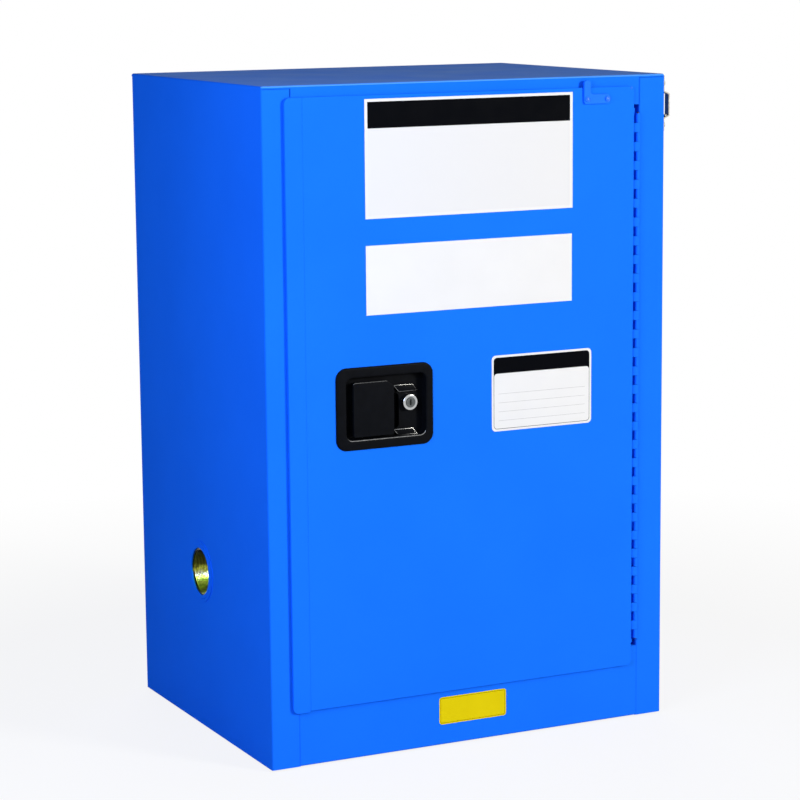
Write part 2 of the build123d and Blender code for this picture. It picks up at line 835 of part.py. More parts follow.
def hinge_rivets(leaf_side, sheets):
    """Rivets through one hinge leaf and the sheet behind it."""
    inner = hinge_x + leaf_side * (barrel_radius - hinge_leaf)
    outer = hinge_x + leaf_side * (barrel_radius + sheets)
    with BuildPart() as rivets:
        for height in rivet_heights:
            head_x = (inner - leaf_side * rivet_head_height, inner)
            round_x(rivet_y, height, rivet_head_radius, head_x)
            round_x(rivet_y, height, rivet_radius, (inner, outer))
            tail_x = (outer, outer + leaf_side * rivet_tail_height)
            round_x(rivet_y, height, rivet_tail_radius, tail_x)
    return rivets


keep(hinge_half(0, 1), "hinge_frame_leaf")
keep(hinge_half(1, -1), "hinge_door_leaf")
keep(hinge_rivets(1, sheet), "frame_hinge_rivets")
keep(hinge_rivets(-1, sheet), "door_hinge_rivets")

with BuildPart() as hinge_pin:
    round_z(hinge_x, hinge_y, pin_radius, (hinge_bottom - pin_tip, hinge_top + pin_tip))
keep(hinge_pin, "hinge_pin")

# Strikes: forked keepers behind the header, the sill and the latch side stile
strike_slot_y = (strike_limits_y[0] - cut_over, latch_y + bolt_radius + notch_back)
with BuildPart() as top_strike:
    strike_z = (inner_top, inner_top + strike_thickness)
    block(about(top_rod_x, strike_width / 2), strike_limits_y, strike_z)
    cut_z = (inner_top - cut_over, inner_top + strike_thickness + cut_over)
    block(about(top_rod_x, strike_slot_half), strike_slot_y, cut_z, Mode.SUBTRACT)
keep(top_strike, "top_strike")

with BuildPart() as bottom_strike:
    strike_z = (sump_top - strike_thickness, sump_top)
    block(about(bottom_rod_x, strike_width / 2), strike_limits_y, strike_z)
    cut_z = (sump_top - strike_thickness - cut_over, sump_top + cut_over)
    block(about(bottom_rod_x, strike_slot_half), strike_slot_y, cut_z, Mode.SUBTRACT)
keep(bottom_strike, "bottom_strike")

with BuildPart() as side_strike:
    strike_x = (-(inner_half + strike_thickness), -inner_half)
    block(strike_x, strike_limits_y, about(latch_z, strike_width / 2))
    cut_x = (-(inner_half + strike_thickness + cut_over), -(inner_half - cut_over))
    block(cut_x, strike_slot_y, about(latch_z, strike_slot_half), Mode.SUBTRACT)
keep(side_strike, "side_strike")


def door_sheet(x_limits, z_limits, round_side):
    """A door facing sheet: three edges turned back, the fourth left open."""
    open_x = x_limits[0] if round_side > 0 else x_limits[1]
    closed_x = x_limits[1] if round_side > 0 else x_limits[0]
    corner_group = -1 if round_side > 0 else 0
    with BuildSketch(Plane.XZ.offset(-door_face)) as outline:
        with Locations((sum(x_limits) / 2, sum(z_limits) / 2)):
            Rectangle(x_limits[1] - x_limits[0], z_limits[1] - z_limits[0])
        fillet(outline.vertices().group_by(Axis.X)[corner_group], radius=door_corner)
    extrude(outline.sketch, amount=-skin_return)
    cut_x = (open_x - round_side * cut_over, closed_x - round_side * sheet)
    with BuildSketch(Plane.XZ.offset(-skin_back)) as hollow:
        with Locations((sum(cut_x) / 2, sum(z_limits) / 2)):
            Rectangle(abs(cut_x[1] - cut_x[0]), z_limits[1] - z_limits[0] - 2 * sheet)
        fillet(hollow.vertices().group_by(Axis.X)[corner_group], radius=door_corner - sheet)
    extrude(hollow.sketch, amount=-skin_return, mode=Mode.SUBTRACT)


# Door: outer skin, latch side edge strip and inner pan
with BuildPart() as door_skin:
    door_sheet((skin_left, skin_right), (door_bottom, door_top), 1)
    fillet(door_skin.faces().sort_by(Axis.Y)[0].edges(), radius=soft_edge)
    cutout_width = bezel_width - 2 * cutout_lap
    cutout_height = bezel_height - 2 * cutout_lap
    cutout_y = (door_face - cut_over, skin_back + cut_over)
    cutout_corner = bezel_radius - cutout_lap
    rounded_plate(handle_x, handle_z, cutout_width, cutout_height, cutout_corner, cutout_y, Mode.SUBTRACT)
    for screw_x, screw_z in bracket_screw_places:
        round_y(screw_x, screw_z, screw_radius, cutout_y, Mode.SUBTRACT)
    block((skin_right - sheet, skin_right), (skin_back, lip_front), (pan_bottom, pan_top))
keep(door_skin, "door_outer_skin")

with BuildPart() as door_strip:
    door_sheet((strip_left, strip_right), (door_bottom - strip_drop, door_top), -1)
    fillet(door_strip.faces().sort_by(Axis.Y)[0].edges(), radius=soft_edge)
    tongue_x = (strip_right - sheet, strip_right + strip_tongue)
    tongue_z = (pan_bottom + bend_radius, pan_top - bend_radius)
    block(tongue_x, (skin_back, skin_back + sheet), tongue_z)
keep(door_strip, "door_edge_strip")

with BuildPart() as door_pan:
    block((pan_left, pan_right), (pan_front, pan_back), (pan_bottom, pan_top))
    fillet(door_pan.faces().sort_by(Axis.Y)[-1].edges(), radius=bend_radius)
    flange_x = (pan_left - pan_side_flange, skin_right - sheet - seam)
    flange_ends = (pan_bottom - pan_end_flange, pan_top + pan_end_flange)
    block(flange_x, (skin_back, pan_front), flange_ends)
    pan_inside_x = (pan_left + sheet, pan_right - sheet)
    pan_inside_y = (skin_back - cut_over, pan_back - sheet)
    block(pan_inside_x, pan_inside_y, (pan_bottom + sheet, pan_top - sheet), Mode.SUBTRACT)
    hinge_cut_x = (skin_right - sheet - seam, pan_right + cut_over)
    hinge_cut_y = (skin_back - cut_over, lip_front)
    hinge_cut_z = (flange_ends[0] - cut_over, flange_ends[1] + cut_over)
    block(hinge_cut_x, hinge_cut_y, hinge_cut_z, Mode.SUBTRACT)
    block((skin_right - 3 * sheet, pan_right), (lip_front, lip_front + sheet), (pan_bottom, pan_top))
    left_wall_x = (pan_left - cut_over, pan_left + sheet + cut_over)
    round_x(latch_y, latch_z, guide_neck_radius, left_wall_x, Mode.SUBTRACT)
    top_wall_z = (pan_top - sheet - cut_over, pan_top + cut_over)
    round_z(top_rod_x, latch_y, guide_neck_radius, top_wall_z, Mode.SUBTRACT)
    bottom_wall_z = (pan_bottom - cut_over, pan_bottom + sheet + cut_over)
    round_z(bottom_rod_x, latch_y, guide_neck_radius, bottom_wall_z, Mode.SUBTRACT)
    rivet_wall_x = (pan_right - sheet - cut_over, pan_right + cut_over)
    for height in rivet_heights:
        round_x(rivet_y, height, rivet_radius, rivet_wall_x, Mode.SUBTRACT)
keep(door_pan, "door_inner_pan")

# Guide bushes where the three bolts leave the door
guide_bore = bolt_radius + running_clearance
with BuildPart() as bolt_guides:
    round_x(latch_y, latch_z, guide_neck_radius, (pan_left, pan_left + sheet))
    round_x(latch_y, latch_z, guide_flange_radius, (pan_left + sheet, pan_left + sheet + guide_flange))
    left_bore_x = (pan_left - cut_over, pan_left + sheet + guide_flange + cut_over)
    round_x(latch_y, latch_z, guide_bore, left_bore_x, Mode.SUBTRACT)
    round_z(top_rod_x, latch_y, guide_neck_radius, (pan_top - sheet, pan_top))
    round_z(top_rod_x, latch_y, guide_flange_radius, (pan_top - sheet - guide_flange, pan_top - sheet))
    top_bore_z = (pan_top - sheet - guide_flange - cut_over, pan_top + cut_over)
    round_z(top_rod_x, latch_y, guide_bore, top_bore_z, Mode.SUBTRACT)
    round_z(bottom_rod_x, latch_y, guide_neck_radius, (pan_bottom, pan_bottom + sheet))
    bottom_flange_z = (pan_bottom + sheet, pan_bottom + sheet + guide_flange)
    round_z(bottom_rod_x, latch_y, guide_flange_radius, bottom_flange_z)
    bottom_bore_z = (pan_bottom - cut_over, pan_bottom + sheet + guide_flange + cut_over)
    round_z(bottom_rod_x, latch_y, guide_bore, bottom_bore_z, Mode.SUBTRACT)
keep(bolt_guides, "bolt_guides")


def ledge(shift_z):
    """A raised ledge on the dish floor beside the finger pocket."""
    left = handle_x + ledge_shift_x - ledge_width / 2
    right = left + ledge_width
    low = handle_z + shift_z
    high = low + ledge_height
    with BuildSketch(Plane.XZ.offset(-dish_floor)) as outline:
        with BuildLine():
            Polyline((left + ledge_slope, low), (right, low), (right - ledge_slope, high), (left, high), close=True)
        make_face()
    extrude(outline.sketch, amount=ledge_rise)


# Handle dish let into the door skin
with BuildPart() as handle_dish:
    bezel_y = (door_face - bezel_proud, door_face)
    rounded_plate(handle_x, handle_z, bezel_width, bezel_height, bezel_radius, bezel_y)
    body_width = recess_width + 2 * dish_wall
    body_height = recess_height + 2 * dish_wall
    body_radius = recess_radius + dish_wall
    rounded_plate(recess_x, handle_z, body_width, body_height, body_radius, (door_face, dish_back))
    outer_pocket = (pocket_width + 2 * dish_wall, pocket_height + 2 * dish_wall, pocket_radius + dish_wall)
    rounded_plate(pocket_x, pocket_z, *outer_pocket, (dish_floor, pocket_back))
    recess_y = (bezel_y[0] - cut_over, dish_floor)
    rounded_plate(recess_x, handle_z, recess_width, recess_height, recess_radius, recess_y, Mode.SUBTRACT)
    pocket_y = (dish_floor - seam, pocket_floor)
    inner_pocket = (pocket_width, pocket_height, pocket_radius)
    rounded_plate(pocket_x, pocket_z, *inner_pocket, pocket_y, Mode.SUBTRACT)
    fillet(handle_dish.faces().sort_by(Axis.Y)[0].edges(), radius=bezel_soft)
    ledge(upper_ledge_shift)
    ledge(lower_ledge_shift)
    for post_z in ((post_bottom, post_bottom + post_height), (post_top - post_height, post_top)):
        round_z(pivot_x, pivot_y, lug_radius, post_z)
        block(about(pivot_x, lug_radius), (pivot_y, dish_floor), post_z)
    slot_left = pivot_x - finger_thickness / 2 - moving_clearance
    slot_lean = (dish_back - pivot_y) * math.tan(swing) + finger_thickness / 2 / math.cos(swing)
    finger_slot_x = (slot_left, pivot_x + slot_lean + moving_clearance)
    finger_slot_y = (dish_floor - seam, dish_back + cut_over)
    finger_slot_z = about(latch_z, finger_height / 2 + moving_clearance)
    block(finger_slot_x, finger_slot_y, finger_slot_z, Mode.SUBTRACT)
    round_z(pivot_x, pivot_y, handle_pin_radius, (post_bottom - cut_over, post_top + cut_over), Mode.SUBTRACT)
    lock_hole_radius = lock_body_radius + running_clearance
    round_y(lock_x, lock_z, lock_hole_radius, (dish_floor - seam, dish_back + cut_over), Mode.SUBTRACT)
keep(handle_dish, "handle_dish")

with BuildPart() as handle_pin:
    round_z(pivot_x, pivot_y, handle_pin_radius, (post_bottom, post_top))
keep(handle_pin, "handle_pin")

# Paddle with two lugs on the pin and a finger that reaches through the dish
with BuildPart() as paddle:
    with BuildSketch(Plane.XZ.offset(-paddle_front)) as paddle_outline:
        with BuildLine():
            Polyline(
                (paddle_left, paddle_bottom),
                (paddle_right, paddle_bottom),
                (paddle_right, paddle_top - paddle_chamfer_z),
                (paddle_right - paddle_chamfer_x, paddle_top),
                (paddle_left, paddle_top),
                close=True,
            )
        make_face()
        fillet(paddle_outline.vertices(), radius=paddle_corner)
    extrude(amount=-paddle_thickness)
    fillet(paddle.faces().sort_by(Axis.Y)[0].edges(), radius=paddle_soft)
    lower_lug_z = (post_bottom + post_height + lug_gap, post_bottom + post_height + lug_gap + lug_height)
    upper_lug_z = (post_top - post_height - lug_gap - lug_height, post_top - post_height - lug_gap)
    finger_z = about(latch_z, finger_height / 2)
    for lug_z in (lower_lug_z, upper_lug_z, finger_z):
        round_z(pivot_x, pivot_y, lug_radius, lug_z)
        block(about(pivot_x, lug_radius), (paddle_back, pivot_y), lug_z)
    block(about(pivot_x, finger_thickness / 2), (pivot_y, latch_y), finger_z)
    round_z(pivot_x, latch_y, nose_radius, finger_z)
    paddle_bore_z = (paddle_bottom - cut_over, paddle_top + cut_over)
    round_z(pivot_x, pivot_y, handle_pin_radius + running_clearance, paddle_bore_z, Mode.SUBTRACT)
keep(paddle, "handle_paddle")

# Return spring wound round the pin between the lower lug and the finger
spring_height = spring_pitch * spring_turns
spring_start = (lower_lug_z[1] + finger_z[0] - spring_height) / 2
with BuildPart() as paddle_spring:
    with BuildLine() as spring_path:
        Helix(spring_pitch, spring_height, spring_radius, center=(pivot_x, pivot_y, spring_start))
    with BuildSketch(Plane(origin=spring_path.line @ 0, z_dir=spring_path.line % 0)):
        Circle(spring_wire)
    sweep(is_frenet=True)
keep(paddle_spring, "paddle_spring")

# Latch plate on four pillars behind the dish, with the hub pivot
with BuildPart() as latch_plate:
    plate_x = (handle_x - pillar_left - latch_plate_edge, handle_x + pillar_right + latch_plate_edge)
    plate_z = (handle_z - pillar_down - latch_plate_edge, handle_z + pillar_up + latch_plate_edge)
    block(plate_x, (latch_plate_front, latch_plate_back), plate_z)
    for pillar_x in (handle_x - pillar_left, handle_x + pillar_right):
        for pillar_z in (handle_z - pillar_down, handle_z + pillar_up):
            round_y(pillar_x, pillar_z, pillar_radius, (dish_back, latch_plate_front))
    round_y(hub_x, hub_z, hub_pivot_radius, (hub_front, latch_plate_front))
keep(latch_plate, "latch_plate")

# Hub with three pins, one for each bolt
hub_pin_angles = [
    math.pi / 2 + hub_half_turn,
    hub_half_turn,
    math.pi + hub_half_turn,
]
hub_pins = [
    (hub_x + hub_radius * math.cos(angle), hub_z + hub_radius * math.sin(angle)) for angle in hub_pin_angles
]
with BuildPart() as latch_hub:
    with BuildSketch(Plane.XZ.offset(-hub_front)) as hub_outline:
        with Locations((hub_x, hub_z)):
            Circle(hub_boss_radius)
        for (end_x, end_z), angle in zip(hub_pins, hub_pin_angles):
            with Locations(((hub_x + end_x) / 2, (hub_z + end_z) / 2)):
                SlotCenterToCenter(hub_radius, 2 * hub_arm_radius, rotation=math.degrees(angle))
    extrude(amount=-hub_thickness)
    for end_x, end_z in hub_pins:
        round_y(end_x, end_z, hub_pin_radius, (bar_front, hub_front))
    hub_bore_y = (hub_front - cut_over, hub_back + cut_over)
    round_y(hub_x, hub_z, hub_pivot_radius + running_clearance, hub_bore_y, Mode.SUBTRACT)
keep(latch_hub, "latch_hub")

# Bolts: slotted feet in one plane, round ends with rounded noses
slot_narrow = hub_pin_radius + slot_clearance
slot_wide = hub_pin_radius + hub_stray + slot_side_clearance
foot_half = slot_wide + rod_foot_wall
bar_y = (bar_front, bar_back)
slot_cut_y = (bar_front - cut_over, bar_back + cut_over)


def bolt_rod(rod_x, slot_z, tip_z):
    """An upright bolt: slotted foot at the hub, round rod out to the tip."""
    way = 1 if tip_z > slot_z else -1
    with BuildPart() as rod:
        foot_z = (slot_z - way * (slot_narrow + rod_foot_end), slot_z + way * (rod_foot_reach + bolt_radius))
        round_z(rod_x, latch_y, bolt_radius, (slot_z + way * rod_foot_reach, tip_z))
        fillet(rod.faces().filter_by(Axis.Z).sort_by(Axis.Z)[-1 if way > 0 else 0].edges(), radius=bolt_nose)
        block(about(rod_x, foot_half), bar_y, foot_z)
        block(about(rod_x, slot_wide), slot_cut_y, about(slot_z, slot_narrow), Mode.SUBTRACT)
    return rod


keep(bolt_rod(top_rod_x, top_slot_z, top_bolt_tip), "top_bolt")
keep(bolt_rod(bottom_rod_x, bottom_slot_z, bottom_bolt_tip), "bottom_bolt")

with BuildPart() as centre_bolt:
    bolt_shoulder = handle_x - bolt_round_start
    round_x(latch_y, latch_z, bolt_radius, (centre_bolt_tip, bolt_shoulder + bolt_radius))
    fillet(centre_bolt.faces().filter_by(Axis.X).sort_by(Axis.X)[0].edges(), radius=bolt_nose)
    bar_end = centre_slot_x + slot_narrow + bar_end_wall
    block((bolt_shoulder, bar_end), bar_y, about(latch_z, bar_height / 2))
    window_z = about(latch_z, finger_height / 2 + moving_clearance)
    block(about(pivot_x, nose_radius + nose_clearance), slot_cut_y, window_z, Mode.SUBTRACT)
    hub_slot_z = about(latch_z, slot_wide)
    block(about(centre_slot_x, slot_narrow), slot_cut_y, hub_slot_z, Mode.SUBTRACT)
    foot_room_left = bottom_rod_x - foot_half - bolt_travel - rod_foot_clearance
    foot_room_x = (foot_room_left, bottom_rod_x + foot_half + rod_foot_clearance)
    foot_room_top = bottom_slot_z + bolt_travel + slot_narrow + rod_foot_end + rod_foot_clearance
    foot_room_z = (latch_z - bar_height / 2 - cut_over, foot_room_top)
    block(foot_room_x, slot_cut_y, foot_room_z, Mode.SUBTRACT)
keep(centre_bolt, "centre_bolt")

# Lock: fixed cylinder, turning plug and cam
with BuildPart() as lock_cylinder:
    round_y(lock_x, lock_z, lock_collar_radius, (lock_face, dish_floor))
    fillet(lock_cylinder.faces().sort_by(Axis.Y)[0].edges(), radius=lock_edge)
    round_y(lock_x, lock_z, lock_body_radius, (dish_floor, lock_rear))
    plug_bore_y = (lock_face - cut_over, lock_rear + cut_over)
    round_y(lock_x, lock_z, lock_plug_radius + running_clearance, plug_bore_y, Mode.SUBTRACT)
keep(lock_cylinder, "lock_cylinder")

with BuildPart() as lock_plug:
    plug_face = lock_face - lock_plug_proud
    round_y(lock_x, lock_z, lock_plug_radius, (plug_face, lock_rear))
    round_y(lock_x, lock_z, cam_shaft_radius, (lock_rear, cam_back))
    key_y = (plug_face - cut_over, plug_face + key_slot_depth)
    block(about(lock_x, key_slot_width / 2), key_y, about(lock_z, key_slot_length / 2), Mode.SUBTRACT)
keep(lock_plug, "lock_plug")

with BuildPart() as lock_cam:
    with BuildSketch(Plane.XZ.offset(-cam_front)):
        with Locations((lock_x, lock_z + cam_length / 2)):
            SlotCenterToCenter(cam_length, 2 * cam_radius, rotation=math.degrees(math.pi / 2))
        with Locations((lock_x, lock_z)):
            Circle(cam_shaft_radius, mode=Mode.SUBTRACT)
    extrude(amount=-cam_thickness)
keep(lock_cam, "lock_cam")

# Hold open bracket on the door front, its post standing above the door
with BuildPart() as hold_bracket:
    with BuildSketch(Plane.XZ.offset(-door_face)) as bracket_outline:
        with Locations((bracket_left, bracket_bottom)):
            Rectangle(bracket_post, bracket_rise, align=(Align.MIN, Align.MIN))
            Rectangle(bracket_arm, bracket_arm_height, align=(Align.MIN, Align.MIN))
        fillet(bracket_outline.vertices(), radius=bracket_corner)
    extrude(amount=bracket_thickness)
    fillet(hold_bracket.faces().sort_by(Axis.Y)[0].edges(), radius=soft_edge)
    bracket_y = (door_face - bracket_thickness - cut_over, door_face + cut_over)
    for screw_x, screw_z in bracket_screw_places:
        round_y(screw_x, screw_z, screw_radius, bracket_y, Mode.SUBTRACT)
keep(hold_bracket, "hold_open_bracket")

with BuildPart() as bracket_screws:
    for screw_x, screw_z in bracket_screw_places:
        head_back = door_face - bracket_thickness
        head_front = head_back - screw_head_height
        round_y(screw_x, screw_z, screw_head_radius, (head_front, head_back))
        round_y(screw_x, screw_z, screw_radius, (head_back, head_back + screw_length))
    fillet(bracket_screws.faces().filter_by(Axis.Y).group_by(Axis.Y)[0].edges(), radius=screw_dome)
    for screw_x, screw_z in bracket_screw_places:
        round_y(screw_x, screw_z, socket_radius, (head_front - cut_over, head_front + socket_depth), Mode.SUBTRACT)
keep(bracket_screws, "bracket_screws")

# Hold open loop on the right side
with BuildPart() as hold_loop:
    strap_x = half_width + loop_thickness
    crown_x = half_width + loop_proud
    loop_outline = [
        (strap_x, loop_bottom),
        (strap_x, loop_eye_bottom),
        (crown_x, loop_eye_bottom + loop_rise),
        (crown_x, loop_eye_top - loop_rise),
        (strap_x, loop_eye_top),
        (strap_x, loop_top),
    ]
    loop_plane = Plane.XZ.offset(-(loop_front + loop_width))
    folded_sheet(loop_outline, loop_plane, loop_width, Side.LEFT, loop_thickness, loop_bend)
    for height in loop_screw_heights:
        foot_x = (half_width - cut_over, strap_x + cut_over)
        round_x(loop_y, height, screw_radius, foot_x, Mode.SUBTRACT)
keep(hold_loop, "hold_open_loop")

with BuildPart() as loop_screws:
    for height in loop_screw_heights:
        round_x(loop_y, height, loop_head_radius, (strap_x, strap_x + loop_head_height))
        round_x(loop_y, height, screw_radius, (strap_x - screw_length, strap_x))
    fillet(loop_screws.faces().filter_by(Axis.X).group_by(Axis.X)[-1].edges(), radius=loop_head_dome)
keep(loop_screws, "loop_screws")

# Hook and fusible link hanging from the loop
hook_x = half_width + (loop_proud - loop_thickness) / 2
loop_slope = math.atan2(loop_rise, loop_proud - loop_thickness)
hook_seat = loop_eye_bottom + (hook_x - strap_x) * math.tan(loop_slope)
hook_z = hook_seat + (loop_thickness + hook_wire + hook_rest_gap) / math.cos(loop_slope)
hang_y = loop_front + loop_width + hook_turn
hook_bottom = hook_z - hook_drop
with BuildPart() as link_hook:
    with BuildLine() as hook_path:
        FilletPolyline(
            (hook_x, loop_front + hook_tip_gap, hook_z),
            (hook_x, hang_y, hook_z),
            (hook_x, hang_y, hook_bottom),
            radius=hook_turn - hook_wire / 2,
        )
    with BuildSketch(Plane(origin=hook_path.line @ 0, z_dir=hook_path.line % 0)):
        Circle(hook_wire)
    sweep()
keep(link_hook, "link_hook")

with BuildPart() as fusible_link:
    link_top = hook_bottom + link_hole_edge
    upper_z = (link_top - link_half, link_top)
    lower_z = (upper_z[0] + link_lap - link_half, upper_z[0] + link_lap)
    upper_x = (hook_x - link_thickness / 2, hook_x + link_thickness / 2)
    lower_x = (upper_x[0] - link_thickness, upper_x[0])
    link_y = about(hang_y, link_width / 2)
    block(upper_x, link_y, upper_z)
    block(lower_x, link_y, lower_z)
    fillet(fusible_link.edges().filter_by(Axis.X), radius=link_hole_radius)
    eye_x = (lower_x[0] - cut_over, lower_x[1] + cut_over)
    round_x(hang_y, lower_z[0] + link_hole_edge, link_hole_radius, eye_x, Mode.SUBTRACT)
    round_z(hook_x, hang_y, hook_wire, (hook_bottom, link_top + cut_over), Mode.SUBTRACT)
keep(fusible_link, "fusible_link")

# Grounding stud
with BuildPart() as ground_stud:
    round_x(stud_y, stud_z, stud_radius, (half_width - stud_inside, half_width + stud_proud))
    round_x(stud_y, stud_z, washer_radius, (half_width, half_width + washer_thickness))
    with BuildSketch(Plane.YZ.offset(half_width + washer_thickness)):
        with Locations((stud_y, stud_z)):
            RegularPolygon(stud_nut_radius, 6)
    extrude(amount=stud_nut_height)
keep(ground_stud, "grounding_stud")

# Plain stickers
label_y = (door_face - sticker, door_face)
with BuildPart() as door_labels:
    block(about(upper_label_x, upper_label_width / 2), label_y, about(upper_label_z, upper_label_height / 2))
    block(about(middle_label_x, middle_label_width / 2), label_y, about(middle_label_z, middle_label_height / 2))
    small_size = (small_label_width, small_label_height, small_label_corner)
    rounded_plate(small_label_x, small_label_z, *small_size, label_y)
keep(door_labels, "door_labels")

with BuildPart() as sill_label:
    sill_size = (sill_label_width, sill_label_height, sill_label_corner)
    rounded_plate(sill_label_x, sill_label_z, *sill_size, (front_y - sticker, front_y))
keep(sill_label, "sill_label")
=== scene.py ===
"""Looks of a blue steel safety cabinet with one door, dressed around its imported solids."""

import json
import math

import bmesh
import bpy
from mathutils import Matrix, Vector


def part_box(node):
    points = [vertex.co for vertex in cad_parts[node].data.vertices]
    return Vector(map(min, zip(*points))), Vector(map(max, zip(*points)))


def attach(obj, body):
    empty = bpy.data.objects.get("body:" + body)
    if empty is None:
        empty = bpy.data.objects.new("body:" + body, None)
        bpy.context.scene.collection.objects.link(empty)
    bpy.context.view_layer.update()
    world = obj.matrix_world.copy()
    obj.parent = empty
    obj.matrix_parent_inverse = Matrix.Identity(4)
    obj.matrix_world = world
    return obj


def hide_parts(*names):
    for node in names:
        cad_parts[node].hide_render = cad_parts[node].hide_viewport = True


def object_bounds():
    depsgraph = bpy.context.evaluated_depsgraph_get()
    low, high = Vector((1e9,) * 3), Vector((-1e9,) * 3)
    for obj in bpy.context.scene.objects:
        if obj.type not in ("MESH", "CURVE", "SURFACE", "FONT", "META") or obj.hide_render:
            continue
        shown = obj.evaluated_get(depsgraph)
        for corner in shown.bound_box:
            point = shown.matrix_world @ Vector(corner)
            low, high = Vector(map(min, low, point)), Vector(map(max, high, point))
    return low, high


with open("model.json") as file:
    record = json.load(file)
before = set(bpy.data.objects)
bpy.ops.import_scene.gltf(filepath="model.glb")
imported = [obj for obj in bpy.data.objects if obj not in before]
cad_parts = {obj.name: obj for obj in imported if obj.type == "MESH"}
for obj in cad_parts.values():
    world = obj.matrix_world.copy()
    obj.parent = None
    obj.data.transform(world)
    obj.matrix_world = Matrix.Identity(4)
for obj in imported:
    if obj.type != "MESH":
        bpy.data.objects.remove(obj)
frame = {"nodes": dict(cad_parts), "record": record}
solid_low, solid_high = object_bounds()
nodes = frame["nodes"]
scene = bpy.context.scene

# Viewpoint of the photograph, in metres, degrees and pixels
view_target = Vector((0.00665, 0.0, 0.43387))
view_azimuth = -26.164
view_elevation = 9.540
view_roll = -0.510
view_distance = 3.69975
focal_pixels = 2638.02
image_pixels = 800.0
sensor_width = 36.0

# Points closer than this are one point, in metres
same_point = 1e-6

# Powder coat: roughness and gloss of the satin, and sizes of its patches and its orange peel
satin = (0.68, 0.72)
satin_gloss = 0.012
coat_cloud = 0.16
coat_gloss_patch = 0.03
peel_size = 0.0022
peel_depth = 0.00012

# Roof: depths below its top of the flat, with its painted sheen and dust, and of the front fold,
# with its painted highlight
flat_from = 0.0006
flat_full = 0.0001
sheen_dust_patch = 0.07
sheen_dust_share = (0.19, 0.27)
fold_bottom = 0.0022
fold_top = 0.0003
fold_depth = 0.0018
fold_highlight_share = 0.8

# Screw heads: points along a cap, the cross recess as shares of the cap, and the random turn
cap_points = 19
arm_half_width = 0.16
arm_reach = 0.6
head_twist = 1.5
twist_seed = 5

# Handle mouldings: the ledges' level, how they are rounded and where painted highlights go
ledge_face = -0.227
ledge_match = 1e-5
ledge_round = 0.0006
ledge_angle = 0.7
flat_degrees = 0.4
sharp_degrees = 35.0
paddle_glint_depth = 0.003


# Places of the pieces

def stacking_order(box):
    """From the bottom up, then from left to right, then from front to back."""
    low = box[0]
    return round(low.z, 5), round(low.x, 5), round(low.y, 5)


def separate_solids(node):
    """The lowest and highest corner of each separate solid in a node, from the bottom up."""
    shape = bmesh.new()
    shape.from_mesh(nodes[node].data)
    bmesh.ops.remove_doubles(shape, verts=shape.verts, dist=same_point)
    shape.verts.ensure_lookup_table()
    waiting = set(range(len(shape.verts)))
    boxes = []
    while waiting:
        start = waiting.pop()
        reached = [start]
        for index in reached:
            for edge in shape.verts[index].link_edges:
                other = edge.other_vert(shape.verts[index]).index
                if other in waiting:
                    waiting.discard(other)
                    reached.append(other)
        spots = [shape.verts[index].co for index in reached]
        low = Vector([min(spot[axis] for spot in spots) for axis in range(3)])
        high = Vector([max(spot[axis] for spot in spots) for axis in range(3)])
        boxes.append((low, high))
    shape.free()
    return sorted(boxes, key=stacking_order)


def middle_of(box):
    """The middle of a box given by its lowest and highest corner."""
    return (Vector(box[0]) + Vector(box[1])) / 2


# Finishes

def finish(name):
    """A new material with its node tree and its surface shader."""
    material = bpy.data.materials.new(name)
    material.use_nodes = True
    return material, material.node_tree, material.node_tree.nodes["Principled BSDF"]


def add(tree, kind, inputs, **settings):
    """A node with its settings, and each input either linked to a socket or set to a value."""
    made = tree.nodes.new(kind)
    for key, value in settings.items():
        setattr(made, key, value)
    for key, value in inputs.items():
        if isinstance(value, bpy.types.NodeSocket):
            tree.links.new(value, made.inputs[key])
        else:
            made.inputs[key].default_value = value
    return made


def worked(tree, operation, first, second=0.0):
    """The result of one sum on two values."""
    return add(tree, "ShaderNodeMath", {0: first, 1: second}, operation=operation).outputs[0]


def steered(tree, operation, first, second=(0.0, 0.0, 0.0)):
    """The result of one sum on two vectors."""
    inputs = {0: first, 1: second}
    return add(tree, "ShaderNodeVectorMath", inputs, operation=operation).outputs[0]


def length_of(tree, vector):
    """The length of a vector."""
    return add(tree, "ShaderNodeVectorMath", {0: vector}, operation="LENGTH").outputs["Value"]


def place(tree, centre=(0.0, 0.0, 0.0), stretch=(1.0, 1.0, 1.0)):
    """The piece's own coordinates, measured from a centre and stretched."""
    own = add(tree, "ShaderNodeTexCoord", {}).outputs["Object"]
    return steered(tree, "MULTIPLY", steered(tree, "SUBTRACT", own, centre), stretch)


def mottle(tree, size, detail=2.0, stretch=(1.0, 1.0, 1.0)):
    """Soft random patches of about the given size, in metres."""
    inputs = {"Vector": place(tree, stretch=stretch), "Scale": 1.0 / size, "Detail": detail}
    return add(tree, "ShaderNodeTexNoise", inputs).outputs[0]


def between(low, high):
    """Stops from one colour to another over the middle of a mottle."""
    return [(0.3, low), (0.7, high)]


def graded(tree, value, stops):
    """A colour for each value, from (position, colour) stops."""
    ramp = add(tree, "ShaderNodeValToRGB", {"Fac": value})
    elements = ramp.color_ramp.elements
    elements.remove(elements[1])
    elements[0].position = stops[0][0]
    elements[0].color = (*stops[0][1], 1.0)
    for position, colour in stops[1:]:
        elements.new(position).color = (*colour, 1.0)
    return ramp.outputs["Color"]


def ranged(tree, value, low, high, start=0.3, end=0.7):
    """The value brought from start..end to low..high."""
    inputs = {"Value": value, "From Min": start, "From Max": end, "To Min": low, "To Max": high}
    return add(tree, "ShaderNodeMapRange", inputs).outputs[0]


def overprinted(tree, share, under, over):
    """One colour printed over another where the share is one."""
    inputs = {0: share, 6: under, 7: (*over, 1.0)}
    return add(tree, "ShaderNodeMix", inputs, data_type="RGBA").outputs[2]


